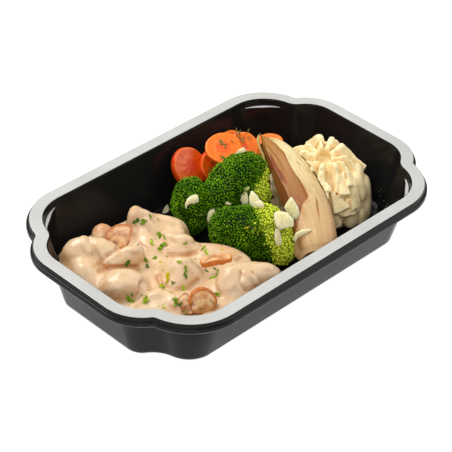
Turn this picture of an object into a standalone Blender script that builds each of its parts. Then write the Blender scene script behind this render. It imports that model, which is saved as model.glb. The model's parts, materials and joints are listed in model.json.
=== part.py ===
"""Ready meal in a black tray: creamy chicken with mushrooms, broccoli, carrot slices,
braised chicory and piped mashed potato. Lengths below are in millimetres and are
turned into metres when a mesh is made. Origin: centre of the tray's flat base, +X
along the tray's length, +Z up."""

import math

import bmesh
import bpy
from mathutils import Matrix, Vector, noise

MM = 0.001

# ---- tray ---------------------------------------------------------------
RIM_L, RIM_W = 237.9, 150.0          # flat top face of the rim, outer edge
TRAY_H = 40.0                        # floor underside to rim top
LOBE1_R, LOBE1_A = 33.3, 46.4        # corner lobe beside the long side: radius, centre's distance from the end
LOBE2_R, LOBE2_B = 27.8, 50.6        # corner lobe beside the short side: radius, centre's distance from the side
NOTCH_R = 3.0                        # radius of the notch between the two lobes
SHEET_T = 0.8                        # sheet thickness
RIM_FACE = 8.1                       # width of the flat sealing face
WALL_TOP_Z, WALL_LOW_Z = 39.0, 3.2   # the drafted wall runs between these heights
WALL_TOP_O, WALL_LOW_O = 8.4, 16.7   # the wall's inner face: distance inside the rim's outer edge
LEDGE_Z, LEDGE_IN = 35.8, 2.6        # stacking ledge in each lobe beside a long side
GAP = 0.4                            # clearance between two pieces that touch

# ---- food ---------------------------------------------------------------
SAUCE_LEVEL = 20.0
SAUCE_C = (-58.0, -5.0)              # centre of the sauce's plan


def material(name, colour, rough, metallic=0.0):
    m = bpy.data.materials.get(name)
    if m:
        return m
    m = bpy.data.materials.new(name)
    m.use_nodes = True
    b = m.node_tree.nodes["Principled BSDF"]
    b.inputs["Base Color"].default_value = (*colour, 1.0)
    b.inputs["Roughness"].default_value = rough
    b.inputs["Metallic"].default_value = metallic
    return m


def make(name, points, faces, mat, smooth=True, angle=40):
    """One closed object from points in millimetres."""
    mesh = bpy.data.meshes.new(name)
    mesh.from_pydata([tuple(c * MM for c in p) for p in points], [], faces)
    bm = bmesh.new()
    bm.from_mesh(mesh)
    bmesh.ops.recalc_face_normals(bm, faces=bm.faces)
    bm.to_mesh(mesh)
    bm.free()
    mesh.materials.append(mat)
    if smooth:
        mesh.shade_smooth()
        mesh.set_sharp_from_angle(angle=math.radians(angle))
    obj = bpy.data.objects.new(name, mesh)
    bpy.context.scene.collection.objects.link(obj)
    return obj


# ---- the tray's outline, as a family of inward offsets -------------------
def outline(offset, ledge=0.0):
    """Closed loop of (x, y), offset inwards from the rim's outer edge. ledge moves the middle of
    each lobe beside a long side inwards by that much more."""
    c1 = (RIM_L / 2 - LOBE1_A, RIM_W / 2 - LOBE1_R)
    c2 = (RIM_L / 2 - LOBE2_R, RIM_W / 2 - LOBE2_B)
    ra, rb = LOBE1_R + NOTCH_R, LOBE2_R + NOTCH_R
    dx, dy = c2[0] - c1[0], c2[1] - c1[1]
    d = math.hypot(dx, dy)
    along = (ra * ra - rb * rb + d * d) / (2 * d)
    high = math.sqrt(ra * ra - along * along)
    f = (c1[0] + along * dx / d - high * dy / d, c1[1] + along * dy / d + high * dx / d)
    t1 = math.atan2(f[1] - c1[1], f[0] - c1[0])
    t2 = math.atan2(f[1] - c2[1], f[0] - c2[0])
    quadrant = []
    n1, nn, n2 = 6, 3, 5
    for i in range(n1 + 1):
        t = math.pi / 2 + (t1 - math.pi / 2) * i / n1
        r = LOBE1_R - offset - ledge * math.sin(math.pi * i / n1) ** 2
        quadrant.append((c1[0] + r * math.cos(t), c1[1] + r * math.sin(t)))
    u1 = math.atan2(c1[1] - f[1], c1[0] - f[0])
    u2 = math.atan2(c2[1] - f[1], c2[0] - f[0])
    turn = (u2 - u1 + math.pi) % (2 * math.pi) - math.pi
    for i in range(1, nn):
        u = u1 + turn * i / nn
        r = NOTCH_R + offset
        quadrant.append((f[0] + r * math.cos(u), f[1] + r * math.sin(u)))
    for i in range(n2 + 1):
        t = t2 * (1 - i / n2)
        r = LOBE2_R - offset
        quadrant.append((c2[0] + r * math.cos(t), c2[1] + r * math.sin(t)))
    loop = list(quadrant)
    loop += [(x, -y) for x, y in reversed(quadrant)]
    loop += [(-x, -y) for x, y in quadrant]
    loop += [(-x, y) for x, y in reversed(quadrant)]
    return loop


def inner_offset(z):
    """How far the wall's inner face lies inside the rim's outer edge at height z."""
    k = (WALL_TOP_Z - z) / (WALL_TOP_Z - WALL_LOW_Z)
    return WALL_TOP_O + (WALL_LOW_O - WALL_TOP_O) * max(0.0, min(1.06, k))


def tray():
    """One thermoformed sheet: floor, drafted wall, flat rim and turned-down lip."""
    def wall(z, outside):
        return inner_offset(z) - (SHEET_T if outside else 0.0)

    rings = [
        # outside, from the base up
        (18.8, 0.0, 0), (16.2, 2.2, 0),
        (wall(24.0, True), 24.0, 0.0), (wall(LEDGE_Z - 1.4, True), LEDGE_Z - 1.4, LEDGE_IN),
        (wall(LEDGE_Z, True), LEDGE_Z - 0.6, 0.0), (wall(38.6, True), 38.6, 0), (7.2, TRAY_H - 0.8, 0),
        # underside of the rim and the lip
        (0.9, TRAY_H - 0.8, 0), (0.7, 37.3, 0), (-0.6, 36.6, 0), (-0.7, 34.8, 0),
        (-1.5, 34.7, 0), (-1.35, 37.4, 0), (-0.15, 38.1, 0), (0.0, 39.5, 0), (0.5, TRAY_H, 0),
        # sealing face and inside, down to the floor
        (RIM_FACE - 0.5, TRAY_H, 0), (WALL_TOP_O, WALL_TOP_Z, 0), (wall(LEDGE_Z, False), LEDGE_Z + 0.2, 0),
        (wall(LEDGE_Z, False), LEDGE_Z - 0.2, LEDGE_IN), (wall(24.0, False), 24.0, 0.0),
        (WALL_LOW_O, WALL_LOW_Z, 0), (17.7, 1.6, 0), (19.6, 0.8, 0),
    ]
    points, faces = [], []
    n = len(outline(0.0))
    for offset, z, ledge in rings:
        points += [(x, y, z) for x, y in outline(offset, ledge)]
    for r in range(len(rings) - 1):
        for i in range(n):
            j = (i + 1) % n
            faces.append((r * n + i, r * n + j, (r + 1) * n + j, (r + 1) * n + i))
    faces.append(tuple(range(n)))
    faces.append(tuple(range((len(rings) - 1) * n, len(rings) * n)))
    return make("tray", points, faces, material("tray_plastic", (0.016, 0.016, 0.017), 0.28), angle=30)


# ---- lumps of food -------------------------------------------------------
def globe(around, up):
    """Unit sphere of around x up facets."""
    points = [Vector((0, 0, -1))]
    for k in range(1, up):
        t = math.pi * k / up
        for i in range(around):
            a = 2 * math.pi * (i + 0.5 * (k % 2)) / around
            points.append(Vector((math.sin(t) * math.cos(a), math.sin(t) * math.sin(a), -math.cos(t))))
    points.append(Vector((0, 0, 1)))
    faces = []
    for i in range(around):
        j = (i + 1) % around
        faces.append((0, 1 + j, 1 + i))
        last = 1 + (up - 2) * around
        faces.append((last + i, last + j, last + around))
    for k in range(up - 2):
        for i in range(around):
            j = (i + 1) % around
            low, high = 1 + k * around, 1 + (k + 1) * around
            if k % 2 == 0:
                faces += [(low + i, low + j, high + j), (low + i, high + j, high + i)]
            else:
                faces += [(low + i, low + j, high + i), (low + j, high + j, high + i)]
    return points, faces


def lump(name, mat, centre, radii, turn, tilt, uneven, grow=0.0, around=12, up=7, peak=None):
    """An uneven rounded lump. turn is about Z, then its long axis rises by tilt, in degrees."""
    base, faces = globe(around, up)
    rotation = Matrix.Rotation(math.radians(turn), 3, "Z") @ Matrix.Rotation(math.radians(-tilt), 3, "Y")
    seed = Vector((centre[0] * 0.37, centre[1] * 0.29, centre[2] * 0.13))
    points = []
    for p in base:
        k = noise.noise(p * 1.3 + seed) * uneven + 0.4 * noise.noise(p * 2.9 + seed) * uneven
        q = Vector((p.x * (radii[0] + grow), p.y * (radii[1] + grow), p.z * (radii[2] + grow))) + p * k
        if peak:
            near = max(0.0, p.dot(Vector(peak[0]).normalized()) - 0.62) / 0.38
            q += Vector(peak[0]).normalized() * peak[1] * near
        points.append(tuple(rotation @ q + Vector(centre)))
    return make(name, points, faces, mat, angle=180)


# name: centre, radii, turn, tilt, unevenness, peak (direction, height) or None
CHICKEN = {
    "chicken_left": ((-82.2, 31.4, 22.6), (14.8, 11.2, 12.6), -46, 0, 1.2, None),
    "chicken_peak": ((-34.0, 29.6, 18.4), (16.8, 11.2, 11.4), -46, 0, 1.3, ((-0.45, 0.30, 0.84), 5.5)),
    "chicken_finger": ((-72.0, 12.6, 25.4), (11.4, 4.6, 5.4), -14, 6, 0.5, None),
    "chicken_ball": ((-85.8, -0.8, 22.2), (11.8, 10.0, 10.0), -46, 0, 0.8, None),
    "chicken_middle": ((-52.0, -14.6, 20.6), (10.8, 9.0, 9.0), -46, 0, 0.8, None),
    "chicken_block": ((-33.0, 3.6, 20.6), (8.8, 7.2, 7.8), -46, 0, 0.8, None),
    "chicken_back": ((-21.0, -13.6, 18.2), (9.6, 5.4, 7.0), -46, 0, 0.6, None),
    "chicken_right": ((-30.6, -45.6, 20.0), (19.6, 12.4, 12.2), -25, 3, 1.2, None),
}
BUTTON = ((-60.5, 42.0, 22.5), (7.0, 7.0, 7.2), 0, 0, 0.3, None)


# ---- mushrooms -----------------------------------------------------------
# name: centre, cap width, cap height, thickness, the way the cut face looks, the way the cap points
MUSHROOMS = {
    "mushroom_slice_back": ((-60.4, 25.6, 27.4), 15.5, 15.5, 4.0, (-0.67, -0.45, 0.59), (-0.25, 0.45, 0.85)),
    "mushroom_slice_flat": ((-34.4, -23.6, 26.6), 17.6, 11.5, 3.6, (-0.10, -0.22, 0.97), (0.49, 0.87, 0.15)),
    "mushroom_half_front": ((-66.2, -42.4, 27.0), 19.0, 15.4, 6.4, (-0.42, -0.56, 0.71), (0.45, 0.55, 0.70)),
}


def mushroom(name, centre, width, height, thick, face_normal, up):
    """A slice through cap and stem: a half-round cap with a short stem, of even thickness."""
    mat = material("mushroom_brown", (0.50, 0.23, 0.08), 0.35)
    shape = []
    n = 12
    for i in range(n + 1):
        t = math.pi * (-0.10 + 1.20 * i / n)
        r = 1.0 + 0.04 * math.sin(3 * t)
        shape.append((math.cos(t) * width / 2 * r, math.sin(t) * height * 0.62 * r))
    stem = width * 0.19
    shape += [(-stem * 1.2, -height * 0.14), (-stem * 1.1, -height * 0.36),
              (stem * 1.1, -height * 0.36), (stem * 1.2, -height * 0.14)]
    w = Vector(face_normal).normalized()
    v = (Vector(up) - w * Vector(up).dot(w)).normalized()
    u = v.cross(w)
    m = len(shape)
    points = []
    for level, inset in ((-0.5, 0.92), (-0.25, 1.0), (0.25, 1.0), (0.5, 0.92)):
        for a, b in shape:
            points.append(tuple(Vector(centre) + u * a * inset + v * b * inset + w * level * thick))
    faces = [tuple(range(m)), tuple(range(3 * m, 4 * m))]
    for k in range(3):
        for i in range(m):
            j = (i + 1) % m
            faces.append((k * m + i, k * m + j, (k + 1) * m + j, (k + 1) * m + i))
    return make(name, points, faces, mat, angle=40)


# ---- sauce ---------------------------------------------------------------
# free edge of the sauce beside the vegetables, from the far side round to the near side
SAUCE_EDGE = [(-103, 53), (-62, 54.0), (-32, 50.0), (-17, 40), (-19.0, 26), (-19.0, 12),
              (-18.5, 4), (-16.0, -6), (-14.0, -20), (-13.5, -30), (-8, -42), (-4, -57)]


def ray_to_loop(cx, cy, dx, dy, loop):
    """Distance from (cx, cy) along (dx, dy) to the first edge of a closed loop."""
    best = None
    for (ax, ay), (bx, by) in zip(loop, loop[1:] + loop[:1]):
        ex, ey = bx - ax, by - ay
        den = dx * ey - dy * ex
        if abs(den) < 1e-12:
            continue
        t = ((ax - cx) * ey - (ay - cy) * ex) / den
        s = ((ax - cx) * dy - (ay - cy) * dx) / den
        if t > 0 and -1e-9 <= s <= 1 + 1e-9 and (best is None or t < best):
            best = t
    return best


def sauce_height(x, y, inward):
    """Height of the sauce. inward runs from 0 at the outer edge to 1 at the middle."""
    z = SAUCE_LEVEL + 1.2 * math.sin(x * 0.09 + 0.6) * math.cos(y * 0.11)
    return z - 4.5 * (1 - inward) ** 4


def sauce():
    cx, cy = SAUCE_C
    n, rings = 40, 5
    free = list(SAUCE_EDGE) + [(-20, -80), (-130, -80), (-130, 53)]

    def radius(angle, z):
        dx, dy = math.cos(angle), math.sin(angle)
        wall = ray_to_loop(cx, cy, dx, dy, outline(inner_offset(z) + (3.0 if z < 1.5 else GAP + 0.5)))
        edge = ray_to_loop(cx, cy, dx, dy, free)
        return min(wall, edge - 0.10 * z)

    levels = [1.2, 3.6, 8.0]
    points, faces = [], []
    for z in levels:
        for i in range(n):
            a = 2 * math.pi * i / n
            r = radius(a, z)
            points.append((cx + r * math.cos(a), cy + r * math.sin(a), z))
    for k in range(rings):
        for i in range(n):
            a = 2 * math.pi * i / n
            r = radius(a, 14.0) * (1 - k / rings)
            x, y = cx + r * math.cos(a), cy + r * math.sin(a)
            points.append((x, y, sauce_height(x, y, k / rings)))
    points.append((cx, cy, sauce_height(cx, cy, 1.0)))
    total = len(levels) + rings
    for k in range(total - 1):
        for i in range(n):
            j = (i + 1) % n
            a, b, c, d = k * n + i, k * n + j, (k + 1) * n + j, (k + 1) * n + i
            faces += [(a, b, c), (a, c, d)]
    top = len(points) - 1
    for i in range(n):
        faces.append(((total - 1) * n + i, (total - 1) * n + (i + 1) % n, top))
    faces.append(tuple(range(n)))
    cream = material("cream_sauce", (0.78, 0.55, 0.34), 0.25)
    obj = make("sauce", points, faces, cream, angle=60)

    def hollow(name, cutter):
        cutter.hide_render = True
        cutter.display_type = "WIRE"
        cut = obj.modifiers.new(name, "BOOLEAN")
        cut.operation = "DIFFERENCE"
        cut.solver = "EXACT"
        cut.object = cutter

    # the lumps and the mushrooms sit in hollows of the sauce
    for name, (centre, radii, turn, tilt, uneven, peak) in list(CHICKEN.items()) + [("button", BUTTON)]:
        hollow(name, lump(name + "_hollow", cream, centre, radii, turn, tilt, uneven, grow=GAP + 0.1, peak=None))
    for name, (centre, width, height, thick, look, up) in MUSHROOMS.items():
        seat = (centre[0], centre[1], centre[2] - 1.0)
        hollow(name, lump(name + "_hollow", cream, seat, (width * 0.62, width * 0.62, 8.6), 0, 0, 0.0, around=8, up=6))
    return obj


# ---- broccoli ------------------------------------------------------------
# name: crown centre, crown radii, turn, tilt, stalk end, stalk radius
BROCCOLI = {
    "broccoli_left": ((-3.8, 32.8, 19.6), (11.8, 12.4, 16.2), -46, 0, (9.0, 31.0, 4.2), 4.4),
    "broccoli_middle": ((25.0, 20.4, 27.4), (21.8, 13.4, 16.0), -6, 22, (33.0, 8.0, 4.8), 5.0),
    "broccoli_front": ((2.8, -13.8, 20.6), (23.4, 13.0, 18.8), -46, 0, (19.0, -6.0, 6.2), 5.4),
}


def broccoli(name, centre, radii, turn, tilt, end, stalk_r):
    green = material("broccoli_green", (0.045, 0.13, 0.012), 0.6)
    crown = lump(name, green, centre, radii, turn, tilt, 1.8, around=13, up=7)
    # stalk: a tapered rod from inside the crown
    start, stop = Vector(centre), Vector(end)
    d = (stop - start).normalized()
    side = d.orthogonal().normalized()
    other = d.cross(side)
    points, faces, n = [], [], 8
    for t, k in ((0.0, 1.5), (0.45, 1.15), (1.0, 0.95)):
        for i in range(n):
            a = 2 * math.pi * i / n
            points.append(tuple(start.lerp(stop, t) + (side * math.cos(a) + other * math.sin(a)) * stalk_r * k))
    for k in range(2):
        for i in range(n):
            j = (i + 1) % n
            faces.append((k * n + i, k * n + j, (k + 1) * n + j, (k + 1) * n + i))
    faces += [tuple(range(n)), tuple(range(2 * n, 3 * n))]
    stalk = make(name + "_stalk_rod", points, faces, green)
    stalk.hide_render = True
    stalk.display_type = "WIRE"
    union = crown.modifiers.new("stalk", "BOOLEAN")
    union.operation = "UNION"
    union.solver = "EXACT"
    union.object = stalk
    return crown


# ---- carrots -------------------------------------------------------------
# name: centre, the way its cut face looks, diameter, thickness
CARROTS = {
    "carrot_left": ((19.2, 54.2, 24.4), (0.04, -0.79, 0.61), 24.6, 4.4),
    "carrot_second": ((33.2, 47.0, 22.4), (0.02, -0.79, 0.61), 21.0, 4.0),
    "carrot_front": ((38.0, 43.9, 34.0), (-0.27, -0.24, 0.93), 22.4, 4.0),
    "carrot_right": ((54.0, 44.2, 27.4), (-0.55, -0.26, 0.79), 21.0, 4.2),
    "carrot_back": ((57.2, 54.0, 21.8), (-0.25, -0.62, 0.74), 20.5, 4.2),
    "carrot_far": ((73.0, 39.6, 22.2), (-0.25, 0.10, 0.96), 20.0, 5.0),
}
CARROT_HEAP = ((50.0, 43.5, 7.2), (37.0, 11.0, 5.6))   # the slices under the ones that show


def carrot(name, centre, normal, diameter, thick):
    """A coin cut from a carrot: slightly oval, tapered and rounded at its edge."""
    n = 16
    w = Vector(normal).normalized()
    u = w.orthogonal().normalized()
    v = w.cross(u)
    seed = Vector((centre[0], centre[1], 0)) * 0.31
    points = []
    for level, inset in ((-0.5, 0.955), (-0.32, 1.0), (0.32, 0.985), (0.5, 0.94)):
        for i in range(n):
            a = 2 * math.pi * i / n
            r = diameter / 2 * inset * (1 + 0.03 * math.cos(2 * a + seed.x) + 0.015 * math.cos(3 * a + seed.y))
            points.append(tuple(Vector(centre) + (u * math.cos(a) + v * math.sin(a)) * r + w * level * thick))
    faces = [tuple(range(n)), tuple(range(3 * n, 4 * n))]
    for k in range(3):
        for i in range(n):
            j = (i + 1) % n
            faces.append((k * n + i, k * n + j, (k + 1) * n + j, (k + 1) * n + i))
    return make(name, points, faces, material("carrot_orange", (0.80, 0.20, 0.02), 0.35), angle=35)


# ---- chicory -------------------------------------------------------------
# centre line from the tip to the root end, with half width and half thickness
CHICORY = [((62.0, 36.0, 37.6), 1.6, 1.2), ((59.2, 28.0, 37.2), 4.6, 3.4), ((57.2, 19.0, 36.2), 7.3, 5.0),
           ((55.0, 10.2, 34.6), 9.3, 6.4), ((51.6, 1.0, 32.2), 11.0, 7.6), ((47.4, -8.6, 29.4), 12.3, 8.6),
           ((42.8, -18.0, 26.4), 12.7, 9.2), ((37.6, -27.2, 23.4), 12.9, 9.4), ((31.8, -36.0, 20.6), 13.0, 9.2),
           ((26.4, -43.4, 18.0), 12.6, 8.8), ((22.8, -48.2, 16.2), 11.2, 8.0), ((20.6, -51.2, 15.2), 8.6, 6.4)]
CHICORY_FACE = (-0.50, -0.22, 0.84)  # the way its broad side looks


def chicory_frames():
    """Centre, tangent, side and up vector, half width and half thickness at each station."""
    face = Vector(CHICORY_FACE).normalized()
    line = [Vector(c) for c, _, _ in CHICORY]
    frames = []
    for k, (c, half_w, half_t) in enumerate(CHICORY):
        tangent = (line[min(k + 1, len(line) - 1)] - line[max(k - 1, 0)]).normalized()
        side = tangent.cross(face).normalized()
        frames.append((Vector(c), tangent, side, side.cross(tangent), half_w, half_t))
    return frames


def in_chicory(p, grow):
    """Whether p lies in the chicory grown by that much, or over its edge beside the mash."""
    best = None
    frames = chicory_frames()
    for (a, _, side, up, wa, ta), (b, _, side_b, up_b, wb, tb) in zip(frames, frames[1:]):
        run = Vector((b.x - a.x, b.y - a.y, 0))
        t = Vector((p.x - a.x, p.y - a.y, 0)).dot(run) / run.length_squared
        t = max(0.0, min(1.0, t))
        c = a.lerp(b, t)
        gap = math.hypot(p.x - c.x, p.y - c.y)
        if best is None or gap < best[0]:
            best = (gap, c, side.lerp(side_b, t), up.lerp(up_b, t), wa + (wb - wa) * t, ta + (tb - ta) * t)
    gap, c, side, up, w, t = best
    d = p - c
    if d.dot(side) > 0:
        return True
    if d.z > -side.z * w and gap < abs(side.x) * w * 1.12 + grow:
        return True
    return (d.dot(side) / (w * 1.06 + grow)) ** 2 + (d.dot(up) / (t * 1.06 + grow)) ** 2 < 1.0


def chicory():
    n = 16
    points = []
    for k, (c, tangent, side, up, half_w, half_t) in enumerate(chicory_frames()):
        for i in range(n):
            a = 2 * math.pi * i / n
            ridge = 1 + 0.05 * math.cos(5 * a + 0.3 * k)
            points.append(tuple(c + side * math.cos(a) * half_w * ridge + up * math.sin(a) * half_t * ridge))
    faces = [tuple(range(n)), tuple(range((len(CHICORY) - 1) * n, len(CHICORY) * n))]
    for k in range(len(CHICORY) - 1):
        for i in range(n):
            j = (i + 1) % n
            faces.append((k * n + i, k * n + j, (k + 1) * n + j, (k + 1) * n + i))
    return make("chicory", points, faces, material("chicory_leaf", (0.66, 0.42, 0.20), 0.35), angle=50)


# ---- mashed potato -------------------------------------------------------
MASH_C, MASH_RX, MASH_RY, MASH_H = (70.5, -8.0), 29.0, 30.0, 43.0
MASH_RIDGES = 11


def mash():
    """A piped mound: star-shaped ridges that lean round it, drawn up to ragged peaks round a hollow."""
    n, rings = MASH_RIDGES * 4, 11
    points, faces = [], []
    profile = [(0.93, 0.0), (0.99, 0.06), (1.0, 0.17), (0.97, 0.32), (0.925, 0.47), (0.87, 0.62),
               (0.80, 0.76), (0.71, 0.88), (0.57, 0.97), (0.34, 0.99), (0.14, 0.97)]
    for k in range(rings):
        r, h = profile[k]
        for i in range(n):
            a = 2 * math.pi * i / n
            seed = Vector((math.cos(a) * 1.7, math.sin(a) * 1.7, h * 3.1))
            tooth = abs(math.sin(MASH_RIDGES / 2 * (a + 0.9 * h)))
            depth = 0.03 + 0.12 * min(1.0, h * 2.0)
            rr = r * (1 - depth * (1 - tooth)) + 0.035 * noise.noise(seed * 1.9)
            lobe = max(0.0, math.cos(a + 0.93)) ** 6 * max(0.0, 1 - h * 2.2) * 0.10
            rr += lobe
            peak = (2.0 + 4.5 * abs(noise.noise(seed * 1.3 + Vector((5, 2, 1))))) * tooth * max(0.0, h - 0.70) * 3.3
            z = MASH_H * h + peak * (1.0 if r > 0.3 else 0.3)
            # the soft mound gives way where the chicory leans on it
            t = 1.0
            while t > 0.1:
                p = Vector((MASH_C[0] + MASH_RX * rr * math.cos(a) * t, MASH_C[1] + MASH_RY * rr * math.sin(a) * t, 1.2 + z))
                inside = [in_chicory(p.lerp(Vector((*MASH_C, p.z)), s), 1.7) for s in (0.0, 0.06, 0.12, 0.2, 0.3, 0.4)]
                if not any(inside):
                    break
                t -= 0.02
            points.append(tuple(p))
    points.append((*MASH_C, 1.2 + MASH_H * 0.95))
    for k in range(rings - 1):
        for i in range(n):
            j = (i + 1) % n
            a, b, c, d = k * n + i, k * n + j, (k + 1) * n + j, (k + 1) * n + i
            faces += [(a, b, c), (a, c, d)]
    for i in range(n):
        faces.append(((rings - 1) * n + i, (rings - 1) * n + (i + 1) % n, len(points) - 1))
    faces.append(tuple(range(n)))
    return make("mash", points, faces, material("mashed_potato", (0.85, 0.72, 0.44), 0.5), angle=60)


# ---- onion ---------------------------------------------------------------
# name: centre, outward normal, long direction, length, width, thickness
ONIONS = {
    "onion_left": ((-9.6, 21.8, 31.2), (-0.55, -0.55, 0.62), (0.75, -0.25, 0.6), 8.6, 6.4, 1.0),
    "onion_folded": ((21.0, -1.2, 32.2), (-0.35, -0.62, 0.70), (0.55, 0.35, 0.75), 9.0, 6.6, 1.0),
    "onion_wide": ((11.0, -31.5, 34.8), (-0.30, -0.45, 0.84), (0.45, 0.75, 0.3), 10.4, 8.6, 1.0),
    "onion_tall": ((25.8, -26.0, 34.4), (-0.72, -0.42, 0.55), (0.25, 0.55, 0.80), 11.6, 8.4, 1.0),
}


def onion(name, centre, normal, along, length, width, thick):
    """A bent shard of one onion layer."""
    w = Vector(normal).normalized()
    u = (Vector(along) - w * Vector(along).dot(w)).normalized()
    v = w.cross(u)
    nu, nv = 3, 3
    points, faces = [], []
    for level in (-0.5, 0.5):
        for i in range(nu + 1):
            for j in range(nv + 1):
                a, b = i / nu * 2 - 1, j / nv * 2 - 1
                taper = 1 - 0.35 * a * a - 0.12 * a
                bend = -1.4 * b * b - 0.7 * a * a
                points.append(tuple(Vector(centre) + u * a * length / 2 + v * b * width / 2 * taper + w * (bend + level * thick)))
    m = (nu + 1) * (nv + 1)
    at = lambda i, j: i * (nv + 1) + j
    for i in range(nu):
        for j in range(nv):
            q = (at(i, j), at(i + 1, j), at(i + 1, j + 1), at(i, j + 1))
            faces += [q, tuple(m + k for k in reversed(q))]
    rim = [at(i, 0) for i in range(nu + 1)] + [at(nu, j) for j in range(1, nv + 1)]
    rim += [at(i, nv) for i in range(nu - 1, -1, -1)] + [at(0, j) for j in range(nv - 1, 0, -1)]
    for a, b in zip(rim, rim[1:] + rim[:1]):
        faces.append((a, b, b + m, a + m))
    return make(name, points, faces, material("onion_shard", (0.83, 0.74, 0.52), 0.3), angle=60)


def build():
    for obj in list(bpy.data.objects):
        bpy.data.objects.remove(obj)
    tray()
    meat = material("sauced_chicken", (0.80, 0.56, 0.35), 0.25)
    for name, (centre, radii, turn, tilt, uneven, peak) in CHICKEN.items():
        lump(name, meat, centre, radii, turn, tilt, uneven, peak=peak)
    centre, radii, turn, tilt, uneven, peak = BUTTON
    lump("mushroom_button", meat, centre, radii, turn, tilt, uneven)
    for name, spec in MUSHROOMS.items():
        mushroom(name, *spec)
    sauce()
    for name, spec in BROCCOLI.items():
        broccoli(name, *spec)
    for name, spec in CARROTS.items():
        carrot(name, *spec)
    lump("carrot_heap", material("carrot_orange", (0.80, 0.20, 0.02), 0.35), CARROT_HEAP[0], CARROT_HEAP[1],
         -2, 0, 1.4, around=16, up=7)
    chicory()
    mash()
    for name, spec in ONIONS.items():
        onion(name, *spec)


build()
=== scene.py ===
"""Looks for the ready meal in a black tray. Points are in millimetres in the row frame
until a mesh is made: origin at the centre of the tray's base, +X along its length, +Z up."""

import json
import math

import bpy
import numpy as np
from mathutils import Matrix, Vector
from mathutils.bvhtree import BVHTree

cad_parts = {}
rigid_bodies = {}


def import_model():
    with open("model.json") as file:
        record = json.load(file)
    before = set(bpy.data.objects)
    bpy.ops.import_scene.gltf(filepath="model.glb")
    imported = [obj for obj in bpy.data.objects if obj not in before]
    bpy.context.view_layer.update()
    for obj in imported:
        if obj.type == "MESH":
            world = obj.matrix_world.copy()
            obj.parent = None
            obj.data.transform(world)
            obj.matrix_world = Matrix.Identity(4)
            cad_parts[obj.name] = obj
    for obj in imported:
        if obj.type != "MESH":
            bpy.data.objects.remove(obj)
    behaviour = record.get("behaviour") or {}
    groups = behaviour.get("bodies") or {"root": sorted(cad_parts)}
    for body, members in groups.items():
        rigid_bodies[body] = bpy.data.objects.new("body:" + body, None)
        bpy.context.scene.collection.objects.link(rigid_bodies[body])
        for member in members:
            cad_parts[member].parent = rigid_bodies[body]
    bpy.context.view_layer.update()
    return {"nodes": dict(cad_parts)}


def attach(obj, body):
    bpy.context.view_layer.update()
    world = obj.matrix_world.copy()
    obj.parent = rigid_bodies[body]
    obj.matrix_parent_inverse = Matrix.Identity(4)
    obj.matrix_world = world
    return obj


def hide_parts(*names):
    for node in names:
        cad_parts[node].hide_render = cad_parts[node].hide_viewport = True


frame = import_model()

MM = 0.001


# =====================================================================================
# camera: the photograph's viewing angle
# =====================================================================================
EYE = np.array([-600.490, -576.211, 645.852])
RIGHT = np.array([0.709844, -0.703723, 0.029913])
UP = np.array([0.406481, 0.443960, 0.798544])
LOOK = np.array([0.575234, 0.554682, -0.601193])
FOCAL = 1789.09   # in units of a 452nd of the frame's width


def ray(u, v):
    d = LOOK + RIGHT * (u - 226) / FOCAL + UP * (226 - v) / FOCAL
    return d / np.linalg.norm(d)


def at_z(u, v, z):
    """The point at height z that shows at (u, v) in the 452 x 452 frame."""
    d = ray(u, v)
    return EYE + d * (z - EYE[2]) / d[2]

TOWARDS = -LOOK


def project(p):
    """Frame units of points."""
    d = np.asarray(p) - EYE
    x, y, z = d @ RIGHT, d @ UP, d @ LOOK
    return 226 + FOCAL * x / z, 226 - FOCAL * y / z


def camera():
    data = bpy.data.cameras.new("camera")
    data.sensor_fit = "HORIZONTAL"
    data.sensor_width = 36.0
    data.lens = FOCAL * 36.0 / 452.0
    data.clip_start, data.clip_end = 0.05, 20.0
    obj = bpy.data.objects.new("camera", data)
    bpy.context.scene.collection.objects.link(obj)
    m = np.eye(4)
    m[:3, 0], m[:3, 1], m[:3, 2], m[:3, 3] = RIGHT, UP, -LOOK, EYE * MM
    obj.matrix_world = Matrix([list(map(float, r)) for r in m])
    bpy.context.scene.camera = obj


camera()


# =====================================================================================
# numbers: colour, noise, surfaces
# =====================================================================================
def lin(r, g, b):
    """Linear colour of an 8-bit screen colour."""
    c = np.array([r, g, b], float) / 255
    return np.where(c <= 0.04045, c / 12.92, ((c + 0.055) / 1.055) ** 2.4)


def unit(v):
    v = np.asarray(v, float)
    return v / np.linalg.norm(v)


def smooth01(x):
    x = np.clip(x, 0.0, 1.0)
    return x * x * (3 - 2 * x)


def band(x, centre, half):
    """1 at centre, falling smoothly to 0 at half away."""
    return smooth01(1 - np.abs(np.asarray(x, float) - centre) / half)


GRADS = np.array([(1, 1, 0), (-1, 1, 0), (1, -1, 0), (-1, -1, 0), (1, 0, 1), (-1, 0, 1), (1, 0, -1), (-1, 0, -1),
                  (0, 1, 1), (0, -1, 1), (0, 1, -1), (0, -1, -1), (1, 1, 0), (0, -1, 1), (-1, 1, 0), (0, -1, -1)], float)


def scramble(ix, iy, iz, seed):
    h = (ix * 374761393 + iy * 668265263 + iz * 2147483647 + seed * 1274126177) & 0x7FFFFFFF
    h = ((h ^ (h >> 13)) * 1103515245 + 12345) & 0x7FFFFFFF
    h = ((h ^ (h >> 15)) * 69069 + 1) & 0x7FFFFFFF
    return h ^ (h >> 11)


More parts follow.
